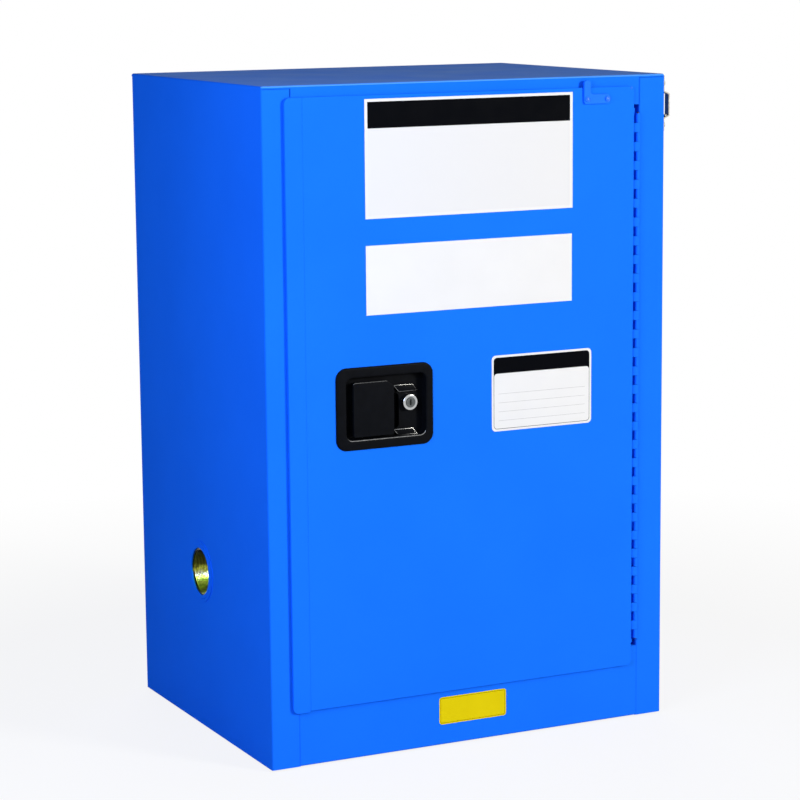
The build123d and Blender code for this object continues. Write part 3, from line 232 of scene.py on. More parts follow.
def dented(tree, surface, height, depth, strength=1.0):
    """A bump of the given depth, in metres, on the surface."""
    inputs = {"Height": height, "Distance": depth, "Strength": strength}
    bump = add(tree, "ShaderNodeBump", inputs)
    tree.links.new(bump.outputs["Normal"], surface.inputs["Normal"])


def coloured(tree, surface, colour, rough):
    """The surface with its colour and its roughness linked."""
    tree.links.new(colour, surface.inputs["Base Color"])
    tree.links.new(rough, surface.inputs["Roughness"])


def inside_panel(tree, across, upright, radius):
    """One inside a round-cornered panel on the front, given its limits, and zero outside."""
    centre = (sum(across) / 2, 0.0, sum(upright) / 2)
    half_width = (across[1] - across[0]) / 2 - radius
    half_height = (upright[1] - upright[0]) / 2 - radius
    folded = steered(tree, "ABSOLUTE", place(tree, centre, (1.0, 0.0, 1.0)))
    past = steered(tree, "SUBTRACT", folded, (half_width, 0.0, half_height))
    outer = steered(tree, "MAXIMUM", past)
    return worked(tree, "LESS_THAN", length_of(tree, outer), radius)


def powder_coat(name, rough_low, rough_high, gloss, painted_layers=()):
    """Blue powder coat with a fine orange peel, and any painted light laid over it, each a share
    and its colour.
    """
    material, tree, surface = finish(name)
    blues = between((0.0075, 0.158, 0.91), (0.0085, 0.168, 0.95))
    colour = graded(tree, mottle(tree, coat_cloud, 3.0), blues)
    # Each layer is painted light laid over the coat's colour
    for share, film in painted_layers:
        colour = overprinted(tree, share(tree), colour, film)
    patches = mottle(tree, coat_gloss_patch, 3.0)
    coloured(tree, surface, colour, ranged(tree, patches, rough_low, rough_high))
    dented(tree, surface, mottle(tree, peel_size), peel_depth, 0.3)
    surface.inputs["Specular IOR Level"].default_value = gloss
    return material


def roof_sheen_and_dust(tree):
    """A thin uneven share on the flat of the roof: painted sheen of reflected light, with dust."""
    top = solid_high[2]
    height = add(tree, "ShaderNodeSeparateXYZ", {0: place(tree)}).outputs[2]
    flat = ranged(tree, height, 0.0, 1.0, top - flat_from, top - flat_full)
    return worked(tree, "MULTIPLY", flat, ranged(tree, mottle(tree, sheen_dust_patch, 3.0), *sheen_dust_share))


def brow_fold_highlight(tree):
    """A share on the front fold of the roof: a painted highlight along the fold."""
    top = solid_high[2]
    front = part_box("top_outer_panel")[0][1]
    along = add(tree, "ShaderNodeSeparateXYZ", {0: place(tree)}).outputs
    above = worked(tree, "GREATER_THAN", along[2], top - fold_bottom)
    below = worked(tree, "LESS_THAN", along[2], top - fold_top)
    ahead = worked(tree, "LESS_THAN", along[1], front + fold_depth)
    fold = worked(tree, "MULTIPLY", above, worked(tree, "MULTIPLY", below, ahead))
    return worked(tree, "MULTIPLY", fold, fold_highlight_share)


def plated(name, stops, patch, rough_low, rough_high, streak=(1.0, 1.0, 1.0)):
    """A plated or drawn metal: mottled colour, uneven gloss and fine drawing marks."""
    material, tree, surface = finish(name)
    colour = graded(tree, mottle(tree, patch, 3.0), stops)
    coloured(tree, surface, colour, ranged(tree, mottle(tree, patch / 4), rough_low, rough_high))
    dented(tree, surface, mottle(tree, 0.0006, 2.0, streak), 0.00002, 0.5)
    surface.inputs["Metallic"].default_value = 1.0
    return material


def passivated_with_painted_light(name, node):
    """Yellow passivation in a vent bushing with painted light: green and a pale painted highlight
    below, painted shade above and at the bottom edge.
    """
    material, tree, surface = finish(name)
    low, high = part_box(node)
    own = place(tree, middle_of((low, high)))
    height = add(tree, "ShaderNodeSeparateXYZ", {0: own}).outputs[2]
    reach = (high[2] - low[2]) / 2
    risen = ranged(tree, height, 0.0, 1.0, -reach, reach)
    wavy = worked(tree, "ADD", risen, ranged(tree, mottle(tree, 0.006), -0.05, 0.05))
    # Painted light by height in the bore: painted shade at the bottom edge, green then a pale
    # painted highlight low down, painted shade in the upper half
    stops = [
        (0.05, (0.06, 0.08, 0.01)),
        (0.14, (0.40, 0.58, 0.05)),
        (0.26, (0.86, 0.96, 0.20)),
        (0.34, (1.0, 1.0, 0.74)),
        (0.44, (0.74, 0.78, 0.16)),
        (0.54, (0.16, 0.16, 0.03)),
        (0.90, (0.05, 0.05, 0.02)),
    ]
    rough = ranged(tree, mottle(tree, 0.003), 0.12, 0.22)
    coloured(tree, surface, graded(tree, wavy, stops), rough)
    dented(tree, surface, mottle(tree, 0.0008), 0.00001, 0.4)
    surface.inputs["Metallic"].default_value = 1.0
    return material


def spangled_zinc():
    """Hot-dip galvanised sheet: crystals of different greys and gloss."""
    material, tree, surface = finish("galvanised_sheet")
    wobble = {"Vector": place(tree), "Scale": 60.0, "Detail": 2.0}
    bent = add(tree, "ShaderNodeTexNoise", wobble).outputs[1]
    easing = {0: bent, "Scale": 0.008}
    eased = add(tree, "ShaderNodeVectorMath", easing, operation="SCALE").outputs[0]
    spot = steered(tree, "ADD", place(tree), eased)
    crystals = add(tree, "ShaderNodeTexVoronoi", {"Vector": spot, "Scale": 85.0})
    grey = add(tree, "ShaderNodeSeparateColor", {0: crystals.outputs["Color"]}).outputs[0]
    greys = [(0.1, (0.42, 0.44, 0.45)), (0.9, (0.62, 0.64, 0.65))]
    coloured(tree, surface, graded(tree, grey, greys), ranged(tree, grey, 0.30, 0.48, 0.0, 1.0))
    dented(tree, surface, crystals.outputs["Distance"], 0.00003, 0.4)
    surface.inputs["Metallic"].default_value = 1.0
    return material


def moulded(name, stops, patch, rough_low, rough_high, grain, depth, gloss):
    """A moulded plastic with a fine grain from its tool."""
    material, tree, surface = finish(name)
    colour = graded(tree, mottle(tree, patch, 3.0), stops)
    coloured(tree, surface, colour, ranged(tree, mottle(tree, patch / 3), rough_low, rough_high))
    dented(tree, surface, mottle(tree, grain), depth, 0.6)
    surface.inputs["Specular IOR Level"].default_value = gloss
    return material


def turned_lock(name, stops, reach, rough_low, rough_high):
    """Chrome turned on a lathe: tones by the distance from the lock's axis, with fine rings."""
    material, tree, surface = finish(name)
    centre = middle_of(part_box("lock_plug"))
    away = length_of(tree, place(tree, centre, (1.0, 0.0, 1.0)))
    colour = graded(tree, ranged(tree, away, 0.0, 1.0, 0.0, reach), stops)
    coloured(tree, surface, colour, ranged(tree, mottle(tree, 0.002), rough_low, rough_high))
    rings = worked(tree, "SINE", worked(tree, "MULTIPLY", away, 14000.0))
    dented(tree, surface, rings, 0.000006, 0.5)
    surface.inputs["Metallic"].default_value = 1.0
    return material


def label_film(name, stops, prints):
    """Vinyl film with plain printed panels, each a share and its ink."""
    material, tree, surface = finish(name)
    colour = graded(tree, mottle(tree, 0.05, 3.0), stops)
    for share, ink in prints:
        colour = overprinted(tree, share(tree), colour, ink)
    coloured(tree, surface, colour, ranged(tree, mottle(tree, 0.02), 0.5, 0.6))
    dented(tree, surface, mottle(tree, 0.0009), 0.00001, 0.4)
    surface.inputs["Specular IOR Level"].default_value = 0.012
    return material


def set_in(box, left, right, bottom, top, radius):
    """A share of one inside a panel set in from the edges of a label."""
    across = (box[0].x + left, box[1].x - right)
    upright = (box[0].z + bottom, box[1].z - top)
    return lambda tree: inside_panel(tree, across, upright, radius)


def framed(box, inset, width, head, radius):
    """A share of one on a thin frame inside a label's edge, with a deep head."""
    within = inset + width
    outer = set_in(box, inset, inset, inset, inset, radius)
    inner = set_in(box, within, within, within, inset + head, radius - width)
    return lambda tree: worked(tree, "SUBTRACT", outer(tree), inner(tree))


# Plain prints on the labels: a margin and a dark head, a frame, and ruled lines
small_label, _, upper_label = separate_solids("door_labels")
sill_label = [Vector(corner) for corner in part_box("sill_label")]
label_ink = (0.0014, 0.0018, 0.0030)
rule_ink = (0.42, 0.42, 0.42)
frame_ink = (0.30, 0.22, 0.0)
soft_white = (0.71, 0.71, 0.715)
margin = 0.004
head_depth = 0.0375
head_top = 0.0036
print_corner = 0.0004
rule_places = (0.014, 0.026, 0.038, 0.050)
rule_width = 0.0004
rule_margin = 0.010
rule_corner = 0.0001

upper_height = upper_label[1].z - upper_label[0].z
small_height = small_label[1].z - small_label[0].z
head_bottom = upper_height - head_depth
door_prints = [
    (set_in(upper_label, margin, margin, margin, margin, print_corner), soft_white),
    (set_in(upper_label, margin, margin, head_bottom, head_top, print_corner), label_ink),
    (framed(small_label, 0.0029, 0.0006, 0.0216, 0.005), label_ink),
]
for rise in rule_places:
    fall = small_height - rise - rule_width
    rule = set_in(small_label, rule_margin, rule_margin, rise, fall, rule_corner)
    door_prints.append((rule, rule_ink))
sill_prints = [(framed(sill_label, 0.0016, 0.0007, 0.0007, 0.0016), frame_ink)]

white_film = between((0.735, 0.735, 0.735), (0.755, 0.755, 0.755))
yellow_film = between((0.70, 0.555, 0.003), (0.74, 0.59, 0.004))
zinc_tones = between((0.46, 0.46, 0.46), (0.60, 0.60, 0.59))
bronze_tones = between((0.48, 0.31, 0.15), (0.62, 0.43, 0.22))
stainless_tones = between((0.56, 0.56, 0.56), (0.66, 0.66, 0.65))
foot_tones = between((0.20, 0.21, 0.22), (0.32, 0.33, 0.34))
loop_tones = between((0.23, 0.22, 0.20), (0.33, 0.32, 0.29))
pin_shade_tones = between((0.035, 0.040, 0.055), (0.055, 0.060, 0.075))
glint_tones = between((0.15, 0.155, 0.16), (0.32, 0.325, 0.33))
tray_tones = between((0.70, 0.71, 0.70), (0.78, 0.79, 0.77))
handle_tones = between((0.0026, 0.0030, 0.0042), (0.0036, 0.0042, 0.0058))
guide_tones = between((0.70, 0.70, 0.68), (0.78, 0.78, 0.75))
yellow_tones = [
    (0.28, (0.62, 0.44, 0.16)),
    (0.5, (0.72, 0.58, 0.22)),
    (0.72, (0.55, 0.55, 0.24)),
]
# Lock collar: the dark ring at its inner edge is painted shade in the groove round the plug
collar_groove_shade_tones = [
    (0.0, (0.20, 0.21, 0.22)),
    (0.62, (0.14, 0.15, 0.16)),
    (0.72, (0.44, 0.46, 0.47)),
    (1.0, (0.56, 0.57, 0.58)),
]
# Lock plug: darker at its rim, painted shade in the same groove
plug_groove_shade_tones = [
    (0.0, (0.05, 0.056, 0.06)),
    (0.8, (0.11, 0.12, 0.125)),
    (1.0, (0.07, 0.075, 0.08)),
]
drawn_upright = (1.0, 1.0, 0.05)

finishes = {
    "blue_paint": powder_coat("blue_powder_coat", *satin, satin_gloss),
    "zinc_steel": plated("bright_zinc", zinc_tones, 0.006, 0.22, 0.38),
    "yellow_zinc": plated("yellow_passivate_painted_light", yellow_tones, 0.008, 0.16, 0.3),
    "link_bronze": plated("bronze_strip", bronze_tones, 0.005, 0.3, 0.45),
    "stainless": plated("drawn_stainless", stainless_tones, 0.004, 0.2, 0.34, drawn_upright),
    "lock_chrome": turned_lock("lock_collar", collar_groove_shade_tones, 0.0105, 0.10, 0.2),
    "galvanised": spangled_zinc(),
    "tray_plastic": moulded(
        "tray_polyethylene", tray_tones, 0.05, 0.42, 0.55, grain=0.0015, depth=0.00008, gloss=0.4
    ),
    "handle_black": moulded(
        "handle_nylon", handle_tones, 0.012, 0.34, 0.44, grain=0.0008, depth=0.00002, gloss=0.025
    ),
    "guide_plastic": moulded(
        "guide_acetal", guide_tones, 0.01, 0.32, 0.42, grain=0.001, depth=0.00003, gloss=0.5
    ),
    "label_white": label_film("label_vinyl", white_film, door_prints),
    "label_yellow": label_film("sill_label_vinyl", yellow_film, sill_prints),
    "foot_steel": plated("dull_zinc", foot_tones, 0.005, 0.35, 0.5),
}


def coat_node(node, coat):
    """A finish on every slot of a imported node."""
    for slot in nodes[node].material_slots:
        slot.material = coat


slots = {piece["node"]: piece["material_slot"] for piece in frame["record"]["subparts"]}
for node, slot_name in slots.items():
    coat_node(node, finishes[slot_name])

plug_face = turned_lock("lock_plug_face", plug_groove_shade_tones, 0.0066, 0.18, 0.3)
loop_zinc = plated("dull_loop_zinc", loop_tones, 0.005, 0.58, 0.66)
# Steel for the hinge pin, darkened as painted shade in the gaps between the knuckles
pin_painted_shade = plated("pin_steel_painted_shade", pin_shade_tones, 0.004, 0.4, 0.5)
# Pale metal for the painted highlights on the handle's upward-facing edges
glint_edge = plated("handle_edge_painted_glint", glint_tones, 0.004, 0.2, 0.3)
gloss_coat = powder_coat("bracket_gloss_coat", 0.30, 0.38, 0.03)
head_coat = powder_coat("screw_head_coat", 0.24, 0.30, 0.45)
# Painted highlight on the roof's front fold, and painted sheen with dust on its flat
roof_painted_light = [(brow_fold_highlight, (0.09, 0.34, 0.95)), (roof_sheen_and_dust, (0.50, 0.72, 0.62))]
roof_coat = powder_coat("roof_powder_coat", *satin, satin_gloss, roof_painted_light)
own_finish = {
    "lock_plug": plug_face,
    "top_outer_panel": roof_coat,
    "hold_open_bracket": gloss_coat,
    "hold_open_loop": loop_zinc,
    "link_hook": loop_zinc,
    "hinge_pin": pin_painted_shade,
}
for node, coat in own_finish.items():
    coat_node(node, coat)


# Pieces that repeat or follow a path

def shaping_tree(name, sizes, facing=True):
    """A geometry node tree with seed points, a named input for each size, and a finish."""
    tree = bpy.data.node_groups.new(name, "GeometryNodeTree")
    tree.interface.new_socket("Seeds", in_out="INPUT", socket_type="NodeSocketGeometry")
    for size in sizes:
        tree.interface.new_socket(size, in_out="INPUT", socket_type="NodeSocketFloat")
    if facing:
        tree.interface.new_socket("Facing", in_out="INPUT", socket_type="NodeSocketVector")
    tree.interface.new_socket("Finish", in_out="INPUT", socket_type="NodeSocketMaterial")
    tree.interface.new_socket("Shape", in_out="OUTPUT", socket_type="NodeSocketGeometry")
    return tree, tree.nodes.new("NodeGroupInput").outputs, tree.nodes.new("NodeGroupOutput")


def made_real(tree, given, result, shape):
    """The tree's shape made real and given its finish."""
    real = add(tree, "GeometryNodeRealizeInstances", {0: shape}).outputs[0]
    coating = {"Geometry": real, "Material": given["Finish"]}
    coated = add(tree, "GeometryNodeSetMaterial", coating).outputs[0]
    tree.links.new(coated, result.inputs[0])
    return tree


def set_on_seeds(tree, given, result, shape, twist):
    """The shape on every seed point, its axis along Facing, with a random turn up to a twist."""
    aim = {"Vector": given["Facing"]}
    facing = add(tree, "FunctionNodeAlignRotationToVector", aim, axis="Z").outputs[0]
    draw = {2: 0.0, 3: twist, 8: twist_seed}
    chance = add(tree, "FunctionNodeRandomValue", draw, data_type="FLOAT").outputs[1]
    spin = add(tree, "ShaderNodeCombineXYZ", {2: chance}).outputs[0]
    turned = add(tree, "FunctionNodeEulerToRotation", {0: spin}).outputs[0]
    both = {0: facing, 1: turned}
    turn = add(tree, "FunctionNodeRotateRotation", both, rotation_space="LOCAL").outputs[0]
    standing = {"Points": given["Seeds"], "Instance": shape, "Rotation": turn}
    stood = add(tree, "GeometryNodeInstanceOnPoints", standing).outputs[0]
    return made_real(tree, given, result, stood)


def swept(tree, path, sides, radius):
    """A ring of some sides swept along a path, with closed ends."""
    ring_sizes = {"Resolution": sides, "Radius": radius}
    ring = add(tree, "GeometryNodeCurvePrimitiveCircle", ring_sizes, mode="RADIUS").outputs[0]
    sweep = {"Curve": path, "Profile Curve": ring, "Fill Caps": True}
    return add(tree, "GeometryNodeCurveToMesh", sweep).outputs[0]


def head_tree():
    """Heads of screws: a domed cap with a skirt, and a cross recess where it has depth."""
    sizes = ("Radius", "Height", "Dome", "Recess")
    tree, given, result = shaping_tree("pressed_heads", sizes)
    cap_sizes = {"Size X": 2.0, "Size Y": 2.0, "Vertices X": cap_points, "Vertices Y": cap_points}
    cap = add(tree, "GeometryNodeMeshGrid", cap_sizes)
    spot = add(tree, "GeometryNodeInputPosition", {}).outputs[0]
    along = add(tree, "ShaderNodeSeparateXYZ", {0: spot}).outputs
    rounded = []
    for own, other in ((along[0], along[1]), (along[1], along[0])):
        bend = worked(tree, "MULTIPLY", worked(tree, "MULTIPLY", other, other), 0.5)
        narrowed = worked(tree, "SQRT", worked(tree, "SUBTRACT", 1.0, bend))
        rounded.append(worked(tree, "MULTIPLY", own, narrowed))
    squares = [worked(tree, "MULTIPLY", value, value) for value in rounded]
    crown = worked(tree, "SUBTRACT", 1.0, worked(tree, "ADD", squares[0], squares[1]))
    sides = [worked(tree, "ABSOLUTE", along[0]), worked(tree, "ABSOLUTE", along[1])]
    arms = []
    for narrow, long in ((sides[0], sides[1]), (sides[1], sides[0])):
        wide = worked(tree, "DIVIDE", narrow, arm_half_width)
        arms.append(worked(tree, "MAXIMUM", wide, worked(tree, "DIVIDE", long, arm_reach)))
    cut = worked(tree, "LESS_THAN", worked(tree, "MINIMUM", arms[0], arms[1]), 1.0)
    dome = worked(tree, "ADD", given["Height"], worked(tree, "MULTIPLY", given["Dome"], crown))
    level = worked(tree, "SUBTRACT", dome, worked(tree, "MULTIPLY", given["Recess"], cut))
    flat = [worked(tree, "MULTIPLY", value, given["Radius"]) for value in rounded]
    target = add(tree, "ShaderNodeCombineXYZ", {0: flat[0], 1: flat[1], 2: level}).outputs[0]
    pressing = {"Geometry": cap.outputs[0], "Position": target}
    pressed = add(tree, "GeometryNodeSetPosition", pressing).outputs[0]
    faces = add(tree, "GeometryNodeInputMeshEdgeNeighbors", {}).outputs[0]
    single = {2: faces, 3: 1}
    rim = add(tree, "FunctionNodeCompare", single, data_type="INT", operation="EQUAL").outputs[0]
    down = add(tree, "FunctionNodeInputVector", {}, vector=(0.0, 0.0, -1.0)).outputs[0]
    drop = {"Mesh": pressed, "Selection": rim, "Offset": down, "Offset Scale": given["Height"]}
    skirt = add(tree, "GeometryNodeExtrudeMesh", drop, mode="EDGES").outputs[0]
    return set_on_seeds(tree, given, result, skirt, head_twist)


def thread_tree():
    """A helical thread ridge about the axis through a seed point."""
    sizes = ("Radius", "Depth", "Turns", "Length")
    tree, given, result = shaping_tree("thread_ridge", sizes)
    helix_sizes = {
        "Resolution": 40,
        "Rotations": given["Turns"],
        "Start Radius": given["Radius"],
        "End Radius": given["Radius"],
        "Height": given["Length"],
    }
    helix = add(tree, "GeometryNodeCurveSpiral", helix_sizes).outputs[0]
    ridge = swept(tree, helix, 3, given["Depth"])
    return set_on_seeds(tree, given, result, ridge, 0.0)


def wrap_tree():
    """Sheet that runs from a door edge onto a hinge knuckle, one to each seed point."""
    sizes = ("Reach", "Length", "Radius", "Sag", "Thickness")
    tree, given, result = shaping_tree("knuckle_wraps", sizes)
    reach = given["Reach"]
    sheet_sizes = {"Size X": reach, "Size Y": given["Length"], "Vertices X": 9, "Vertices Y": 2}
    sheet = add(tree, "GeometryNodeMeshGrid", sheet_sizes)
    spot = add(tree, "GeometryNodeInputPosition", {}).outputs[0]
    along = add(tree, "ShaderNodeSeparateXYZ", {0: spot}).outputs
    across = worked(tree, "SUBTRACT", along[0], worked(tree, "MULTIPLY", reach, 0.5))
    share = worked(tree, "DIVIDE", across, reach)
    sunk = worked(tree, "MULTIPLY", given["Sag"], worked(tree, "MULTIPLY", share, share))
    level = worked(tree, "SUBTRACT", given["Radius"], sunk)
    target = add(tree, "ShaderNodeCombineXYZ", {0: across, 1: along[1], 2: level}).outputs[0]
    rolling = {"Geometry": sheet.outputs[0], "Position": target}
    rolled = add(tree, "GeometryNodeSetPosition", rolling).outputs[0]
    depth = worked(tree, "MULTIPLY", given["Thickness"], -1.0)
    thickening = {"Mesh": rolled, "Offset Scale": depth, "Individual": False}
    thick = add(tree, "GeometryNodeExtrudeMesh", thickening, mode="FACES").outputs[0]
    return set_on_seeds(tree, given, result, thick, 0.0)


def bead_tree():
    """A round bead of paint or weld that follows a seam."""
    tree, given, result = shaping_tree("paint_bead", ("Radius",), facing=False)
    seam = add(tree, "GeometryNodeMeshToCurve", {"Mesh": given["Seeds"]}).outputs[0]
    return made_real(tree, given, result, swept(tree, seam, 10, given["Radius"]))


def plain_mesh(piece):
    """The piece's modifiers worked into its mesh."""
    bpy.context.view_layer.update()
    graph = bpy.context.evaluated_depsgraph_get()
    shaped = piece.evaluated_get(graph)
    made = bpy.data.meshes.new_from_object(shaped, preserve_all_data_layers=True, depsgraph=graph)
    piece.modifiers.clear()
    piece.data = made
    made.name = piece.name


def grown(name, tree, seeds, values, body, paths=()):
    """A plain mesh grown from seed points or paths by a node tree, which rides on a body."""
    seed_mesh = bpy.data.meshes.new(name)
    seed_mesh.from_pydata([tuple(seed) for seed in seeds], paths, [])
    piece = bpy.data.objects.new(name, seed_mesh)
    scene.collection.objects.link(piece)
    modifier = piece.modifiers.new("shape", "NODES")
    modifier.node_group = tree
    for socket in tree.interface.items_tree:
        if socket.in_out == "INPUT" and socket.name in values:
            modifier[socket.identifier] = values[socket.name]
    plain_mesh(piece)
    outward = bmesh.new()
    outward.from_mesh(piece.data)
    open_edges = [edge for edge in outward.edges if edge.is_boundary]
    bmesh.ops.holes_fill(outward, edges=open_edges, sides=0)
    bmesh.ops.recalc_face_normals(outward, faces=outward.faces)
    outward.to_mesh(piece.data)
    outward.free()
    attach(piece, body)
    return piece


heads = head_tree()
threads = thread_tree()
beads = bead_tree()


def screwed(name, node, axis, way, head, dome, recess, body, coat):
    """Heads of a node's fasteners in the node's place, their outer faces along an axis."""
    boxes = separate_solids(node)
    facing = Vector((0.0, 0.0, 0.0))
    facing[axis] = way
    across = (axis + 1) % 3
    seeds = []
    for low, high in boxes:
        seed = middle_of((low, high))
        outer = high[axis] if way > 0 else low[axis]
        seed[axis] = outer - way * head
        seeds.append(seed)
    values = {
        "Radius": (boxes[0][1][across] - boxes[0][0][across]) / 2,
        "Height": head - dome,
        "Dome": dome,
        "Recess": recess,
        "Facing": facing,
        "Finish": coat,
    }
    piece = grown(name, heads, seeds, values, body)
    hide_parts(node)


screwed(
    "bracket_screw_heads", "bracket_screws", axis=1, way=-1.0, head=0.0022, dome=0.0012,
    recess=0.0005, body="door", coat=head_coat,
)
screwed(
    "loop_screw_heads", "loop_screws", axis=0, way=1.0, head=0.0035, dome=0.0022,
    recess=0.0012, body="cabinet", coat=loop_zinc,
)

# A nub of weld near the top of the door's hinge edge
weld_spot = (0.2404, -0.2335, 0.8716)
weld_values = {
    "Radius": 0.0016,
    "Height": 0.0003,
    "Dome": 0.0008,
    "Recess": 0.0,
    "Facing": (0.0, -1.0, 0.0),
    "Finish": head_coat,
}
grown("door_weld_nub", heads, [weld_spot], weld_values, "door")

# Threads in the vents, a little short of the bushings' ends
thread_margin = 0.0015
for side, bushing in (("left", "left_vent_bushing"), ("right", "right_vent_bushing")):
    low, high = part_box(bushing)
    seed = (low[0] + thread_margin, (low[1] + high[1]) / 2, (low[2] + high[2]) / 2)
    # Each bushing's yellow finish carries painted light and shade by height
    passivate_painted_light = passivated_with_painted_light(bushing + "_passivate_painted_light", bushing)
    coat_node(bushing, passivate_painted_light)
    thread_values = {
        "Radius": 0.0299,
        "Depth": 0.0011,
        "Turns": 17.0,
        "Length": high[0] - low[0] - 2 * thread_margin,
        "Facing": (1.0, 0.0, 0.0),
        "Finish": passivate_painted_light,
    }
    grown(side + "_vent_thread", threads, [seed], thread_values, "cabinet")

# Paint in the seams at both ends of the sill
bead_sink = 0.0011
seam_gap = 0.0005
bead_values = {"Radius": 0.0009, "Finish": finishes["blue_paint"]}
two_lines = [(0, 1), (2, 3)]
rail_low, rail_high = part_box("bottom_front_rail")
seam_spots = []
for seam_x in (rail_low[0] - seam_gap, rail_high[0] + seam_gap):
    for seam_z in (rail_low[2], rail_high[2]):
        seam_spots.append((seam_x, rail_low[1] + bead_sink, seam_z))
grown("sill_seam_beads", beads, seam_spots, bead_values, "cabinet", two_lines)

# Weld in the slots at the back corners of the roof
corner_ends = (0.2946, 0.2798)
corner_inset = 0.0015
corner_drop = 0.0026
corner_values = {"Radius": 0.00145, "Finish": finishes["blue_paint"]}
corner_spots = []
for way in (-1.0, 1.0):
    for reach in corner_ends:
        corner_y = solid_high[1] - corner_inset
        corner_spots.append((way * reach, corner_y, solid_high[2] - corner_drop))
grown("roof_corner_welds", beads, corner_spots, corner_values, "cabinet", two_lines)

# Paint in the seam between the door's skin and its edge strip
strip_gap = 0.00025
strip_margin = 0.0008
skin_low, skin_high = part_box("door_outer_skin")
strip_x = skin_low[0] - strip_gap
strip_y = skin_low[1] + bead_sink
strip_ends = (skin_low[2] + strip_margin, skin_high[2] - strip_margin)
strip_spots = [(strip_x, strip_y, level) for level in strip_ends]
grown("door_strip_bead", beads, strip_spots, bead_values, "door", [(0, 1)])

# Sheet from the door's edge onto its knuckles
barrel = middle_of(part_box("hinge_pin"))
leaf_points = [vert.co for vert in nodes["hinge_door_leaf"].data.vertices]
levels = sorted({round(point.z, 5) for point in leaf_points if point.x > barrel.x})
lower_ends = range(0, len(levels) - 1, 2)
knuckles = [(levels[index] + levels[index + 1]) / 2 for index in lower_ends]
wrap_spots = [(barrel.x, barrel.y, level) for level in knuckles]
wrap_values = {
    "Reach": 0.0076,
    "Length": levels[1] - levels[0],
    "Radius": 0.0028,
    "Sag": 0.0026,
    "Thickness": 0.0010,
    "Facing": (0.0, -1.0, 0.0),
    "Finish": finishes["blue_paint"],
}
grown("hinge_knuckle_wraps", wrap_tree(), wrap_spots, wrap_values, "door")


def moulding_with_painted_glints(name, node, body, glint_faces):
    """A handle moulding in the node's place, its ledges rounded, with a painted highlight on the
    roundings and on the chosen upward-facing edges.
    """
    shape = bmesh.new()
    shape.from_mesh(nodes[node].data)
    bmesh.ops.remove_doubles(shape, verts=shape.verts, dist=same_point)
    bmesh.ops.dissolve_limit(
        shape, angle_limit=math.radians(flat_degrees), verts=shape.verts, edges=shape.edges
    )
    ridge = []
    for edge in shape.edges:
        level = all(abs(vert.co.y - ledge_face) < ledge_match for vert in edge.verts)
        if level and edge.calc_face_angle(0.0) > ledge_angle:
            ridge.append(edge)
    # The ledges' roundings take the second finish, the painted highlight
    bmesh.ops.bevel(
        shape, geom=ridge, offset=ledge_round, segments=2, profile=0.5, affect="EDGES",
        material=1, clamp_overlap=False,
    )
    shape.normal_update()
    for face in shape.faces:
        face.smooth = True
        # Upward-facing faces chosen for the painted highlight
        if glint_faces(face.normal, face.calc_center_median()):
            face.material_index = 1
    mesh = bpy.data.meshes.new(name)
    shape.to_mesh(mesh)
    shape.free()
    mesh.set_sharp_from_angle(angle=math.radians(sharp_degrees))
    mesh.materials.append(finishes[slots[node]])
    mesh.materials.append(glint_edge)
    piece = bpy.data.objects.new(name, mesh)
    scene.collection.objects.link(piece)
    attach(piece, body)
    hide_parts(node)


dish_middle = middle_of(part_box("handle_dish"))
paddle_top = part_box("handle_paddle")[1][2]


def dish_glint(facing, spot):
    """The lower inside edge of the dish, facing up: faces for a painted highlight."""
    return facing.z > 0.4 and facing.y < -0.3 and spot.z < dish_middle.z


def paddle_glint(facing, spot):
    """The upper edge of the paddle, facing up: faces for a painted highlight."""
    return facing.z > 0.35 and facing.y < -0.2 and spot.z > paddle_top - paddle_glint_depth


moulding_with_painted_glints("handle_dish_moulding", "handle_dish", "door", dish_glint)
moulding_with_painted_glints("handle_paddle_moulding", "handle_paddle", "paddle", paddle_glint)


# Stage, light and camera

white_paper = (1.0, 1.0, 1.0, 1.0)
shaded_paper = (0.9, 0.9, 0.9, 1.0)
bounce_paper = (0.6, 0.6, 0.6, 1.0)
floor_width = 240.0
floor_drop = 0.0005
shadow_share = 0.15
shadow_end = (0.7, 1.6)


def seen_rays(tree):
    """One for what the camera sees, straight, in a gloss or through glass, and zero for light."""
    rays = add(tree, "ShaderNodeLightPath", {}).outputs
    first = worked(tree, "MAXIMUM", rays["Is Camera Ray"], rays["Is Glossy Ray"])
    return worked(tree, "MAXIMUM", first, rays["Is Transmission Ray"])


def mixed_shader(tree, share, under, over):
    """One shader over another by a share."""
    return add(tree, "ShaderNodeMixShader", {0: share, 1: under, 2: over}).outputs[0]


def pale_floor():
    """A wide pale floor: white to the camera, with the cabinet's shadow on it."""
    bpy.ops.mesh.primitive_plane_add(size=floor_width, location=(0.0, 0.0, -floor_drop))
    floor = bpy.context.object
    floor.name = "floor"
    material = bpy.data.materials.new("floor_paper")
    material.use_nodes = True
    tree = material.node_tree
    tree.nodes.clear()
    seen = seen_rays(tree)
    own = add(tree, "ShaderNodeTexCoord", {}).outputs["Object"]
    far = ranged(tree, length_of(tree, own), 0.0, 1.0, *shadow_end)
    white = add(tree, "ShaderNodeEmission", {"Color": white_paper, "Strength": 1.0}).outputs[0]
    shaded = add(tree, "ShaderNodeBsdfDiffuse", {"Color": shaded_paper}).outputs[0]
    bounce = add(tree, "ShaderNodeBsdfDiffuse", {"Color": bounce_paper}).outputs[0]
    near = mixed_shader(tree, shadow_share, white, shaded)
    shown = mixed_shader(tree, far, near, white)
    surface = mixed_shader(tree, seen, bounce, shown)
    add(tree, "ShaderNodeOutputMaterial", {"Surface": surface})
    floor.data.materials.append(material)


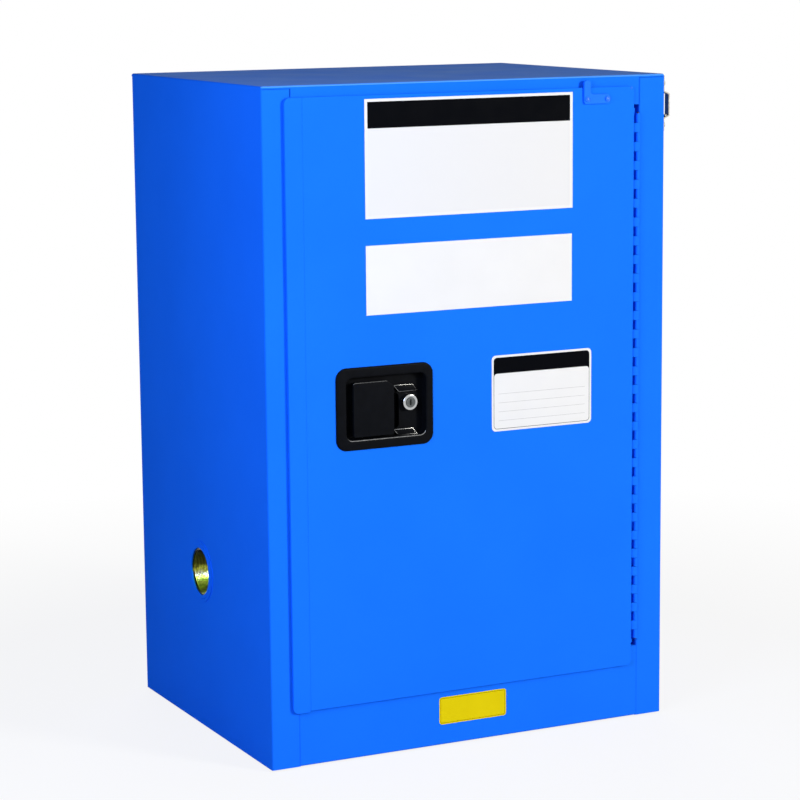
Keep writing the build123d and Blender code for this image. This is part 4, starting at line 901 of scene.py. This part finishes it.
def studio_air(level):
    """Even grey light from all round, with a white background."""
    world = bpy.data.worlds.new("studio")
    scene.world = world
    world.use_nodes = True
    tree = world.node_tree
    tree.nodes.clear()
    white = add(tree, "ShaderNodeBackground", {"Color": white_paper, "Strength": 1.0}).outputs[0]
    fill = add(tree, "ShaderNodeBackground", {"Color": white_paper, "Strength": level}).outputs[0]
    surface = mixed_shader(tree, seen_rays(tree), fill, white)
    add(tree, "ShaderNodeOutputWorld", {"Surface": surface})


def soft_box(name, position, target, size, watts, tint, mirrored):
    """A square studio light of a tint, turned to a target, which glossy pieces mirror or not."""
    lamp = bpy.data.lights.new(name, "AREA")
    lamp.shape = "SQUARE"
    lamp.size = size
    lamp.energy = watts
    lamp.color = tint
    holder = bpy.data.objects.new(name, lamp)
    holder.location = position
    aim = Vector(target) - Vector(position)
    holder.rotation_euler = aim.to_track_quat("-Z", "Y").to_euler()
    holder.visible_glossy = mirrored
    scene.collection.objects.link(holder)


def photograph_camera():
    """The camera at the photograph's viewpoint."""
    azimuth = math.radians(view_azimuth)
    elevation = math.radians(view_elevation)
    roll = math.radians(view_roll)
    back = Vector((
        math.sin(azimuth) * math.cos(elevation),
        -math.cos(azimuth) * math.cos(elevation),
        math.sin(elevation),
    ))
    right = (-back).cross(Vector((0.0, 0.0, 1.0))).normalized()
    up = right.cross(-back)
    level_right = math.cos(roll) * right + math.sin(roll) * up
    level_up = -math.sin(roll) * right + math.cos(roll) * up
    optics = bpy.data.cameras.new("photograph")
    optics.sensor_width = sensor_width
    optics.lens = focal_pixels / image_pixels * sensor_width
    optics.clip_start = 0.1
    optics.clip_end = 200.0
    camera = bpy.data.objects.new("photograph", optics)
    axes = Matrix((level_right, level_up, back)).transposed().to_4x4()
    camera.matrix_world = Matrix.Translation(view_target + back * view_distance) @ axes
    scene.collection.objects.link(camera)
    scene.camera = camera


pale_floor()
studio_air(0.11)
soft_box(
    "key_light", position=(1.9, -3.3, 1.45), target=(0.0, 0.0, 0.45), size=0.7,
    watts=127.0, tint=(1.0, 0.95, 0.84), mirrored=True,
)
soft_box(
    "side_light", position=(-1.25, -1.0, 1.08), target=(-0.3, 0.0, 0.55), size=0.8,
    watts=19.5, tint=(0.55, 0.68, 1.0), mirrored=True,
)
soft_box(
    "back_light", position=(1.2, 3.4, 1.0), target=(0.0, 0.0, 0.45), size=2.0,
    watts=65.0, tint=(1.0, 1.0, 1.0), mirrored=False,
)
photograph_camera()

scene.view_settings.view_transform = "Standard"
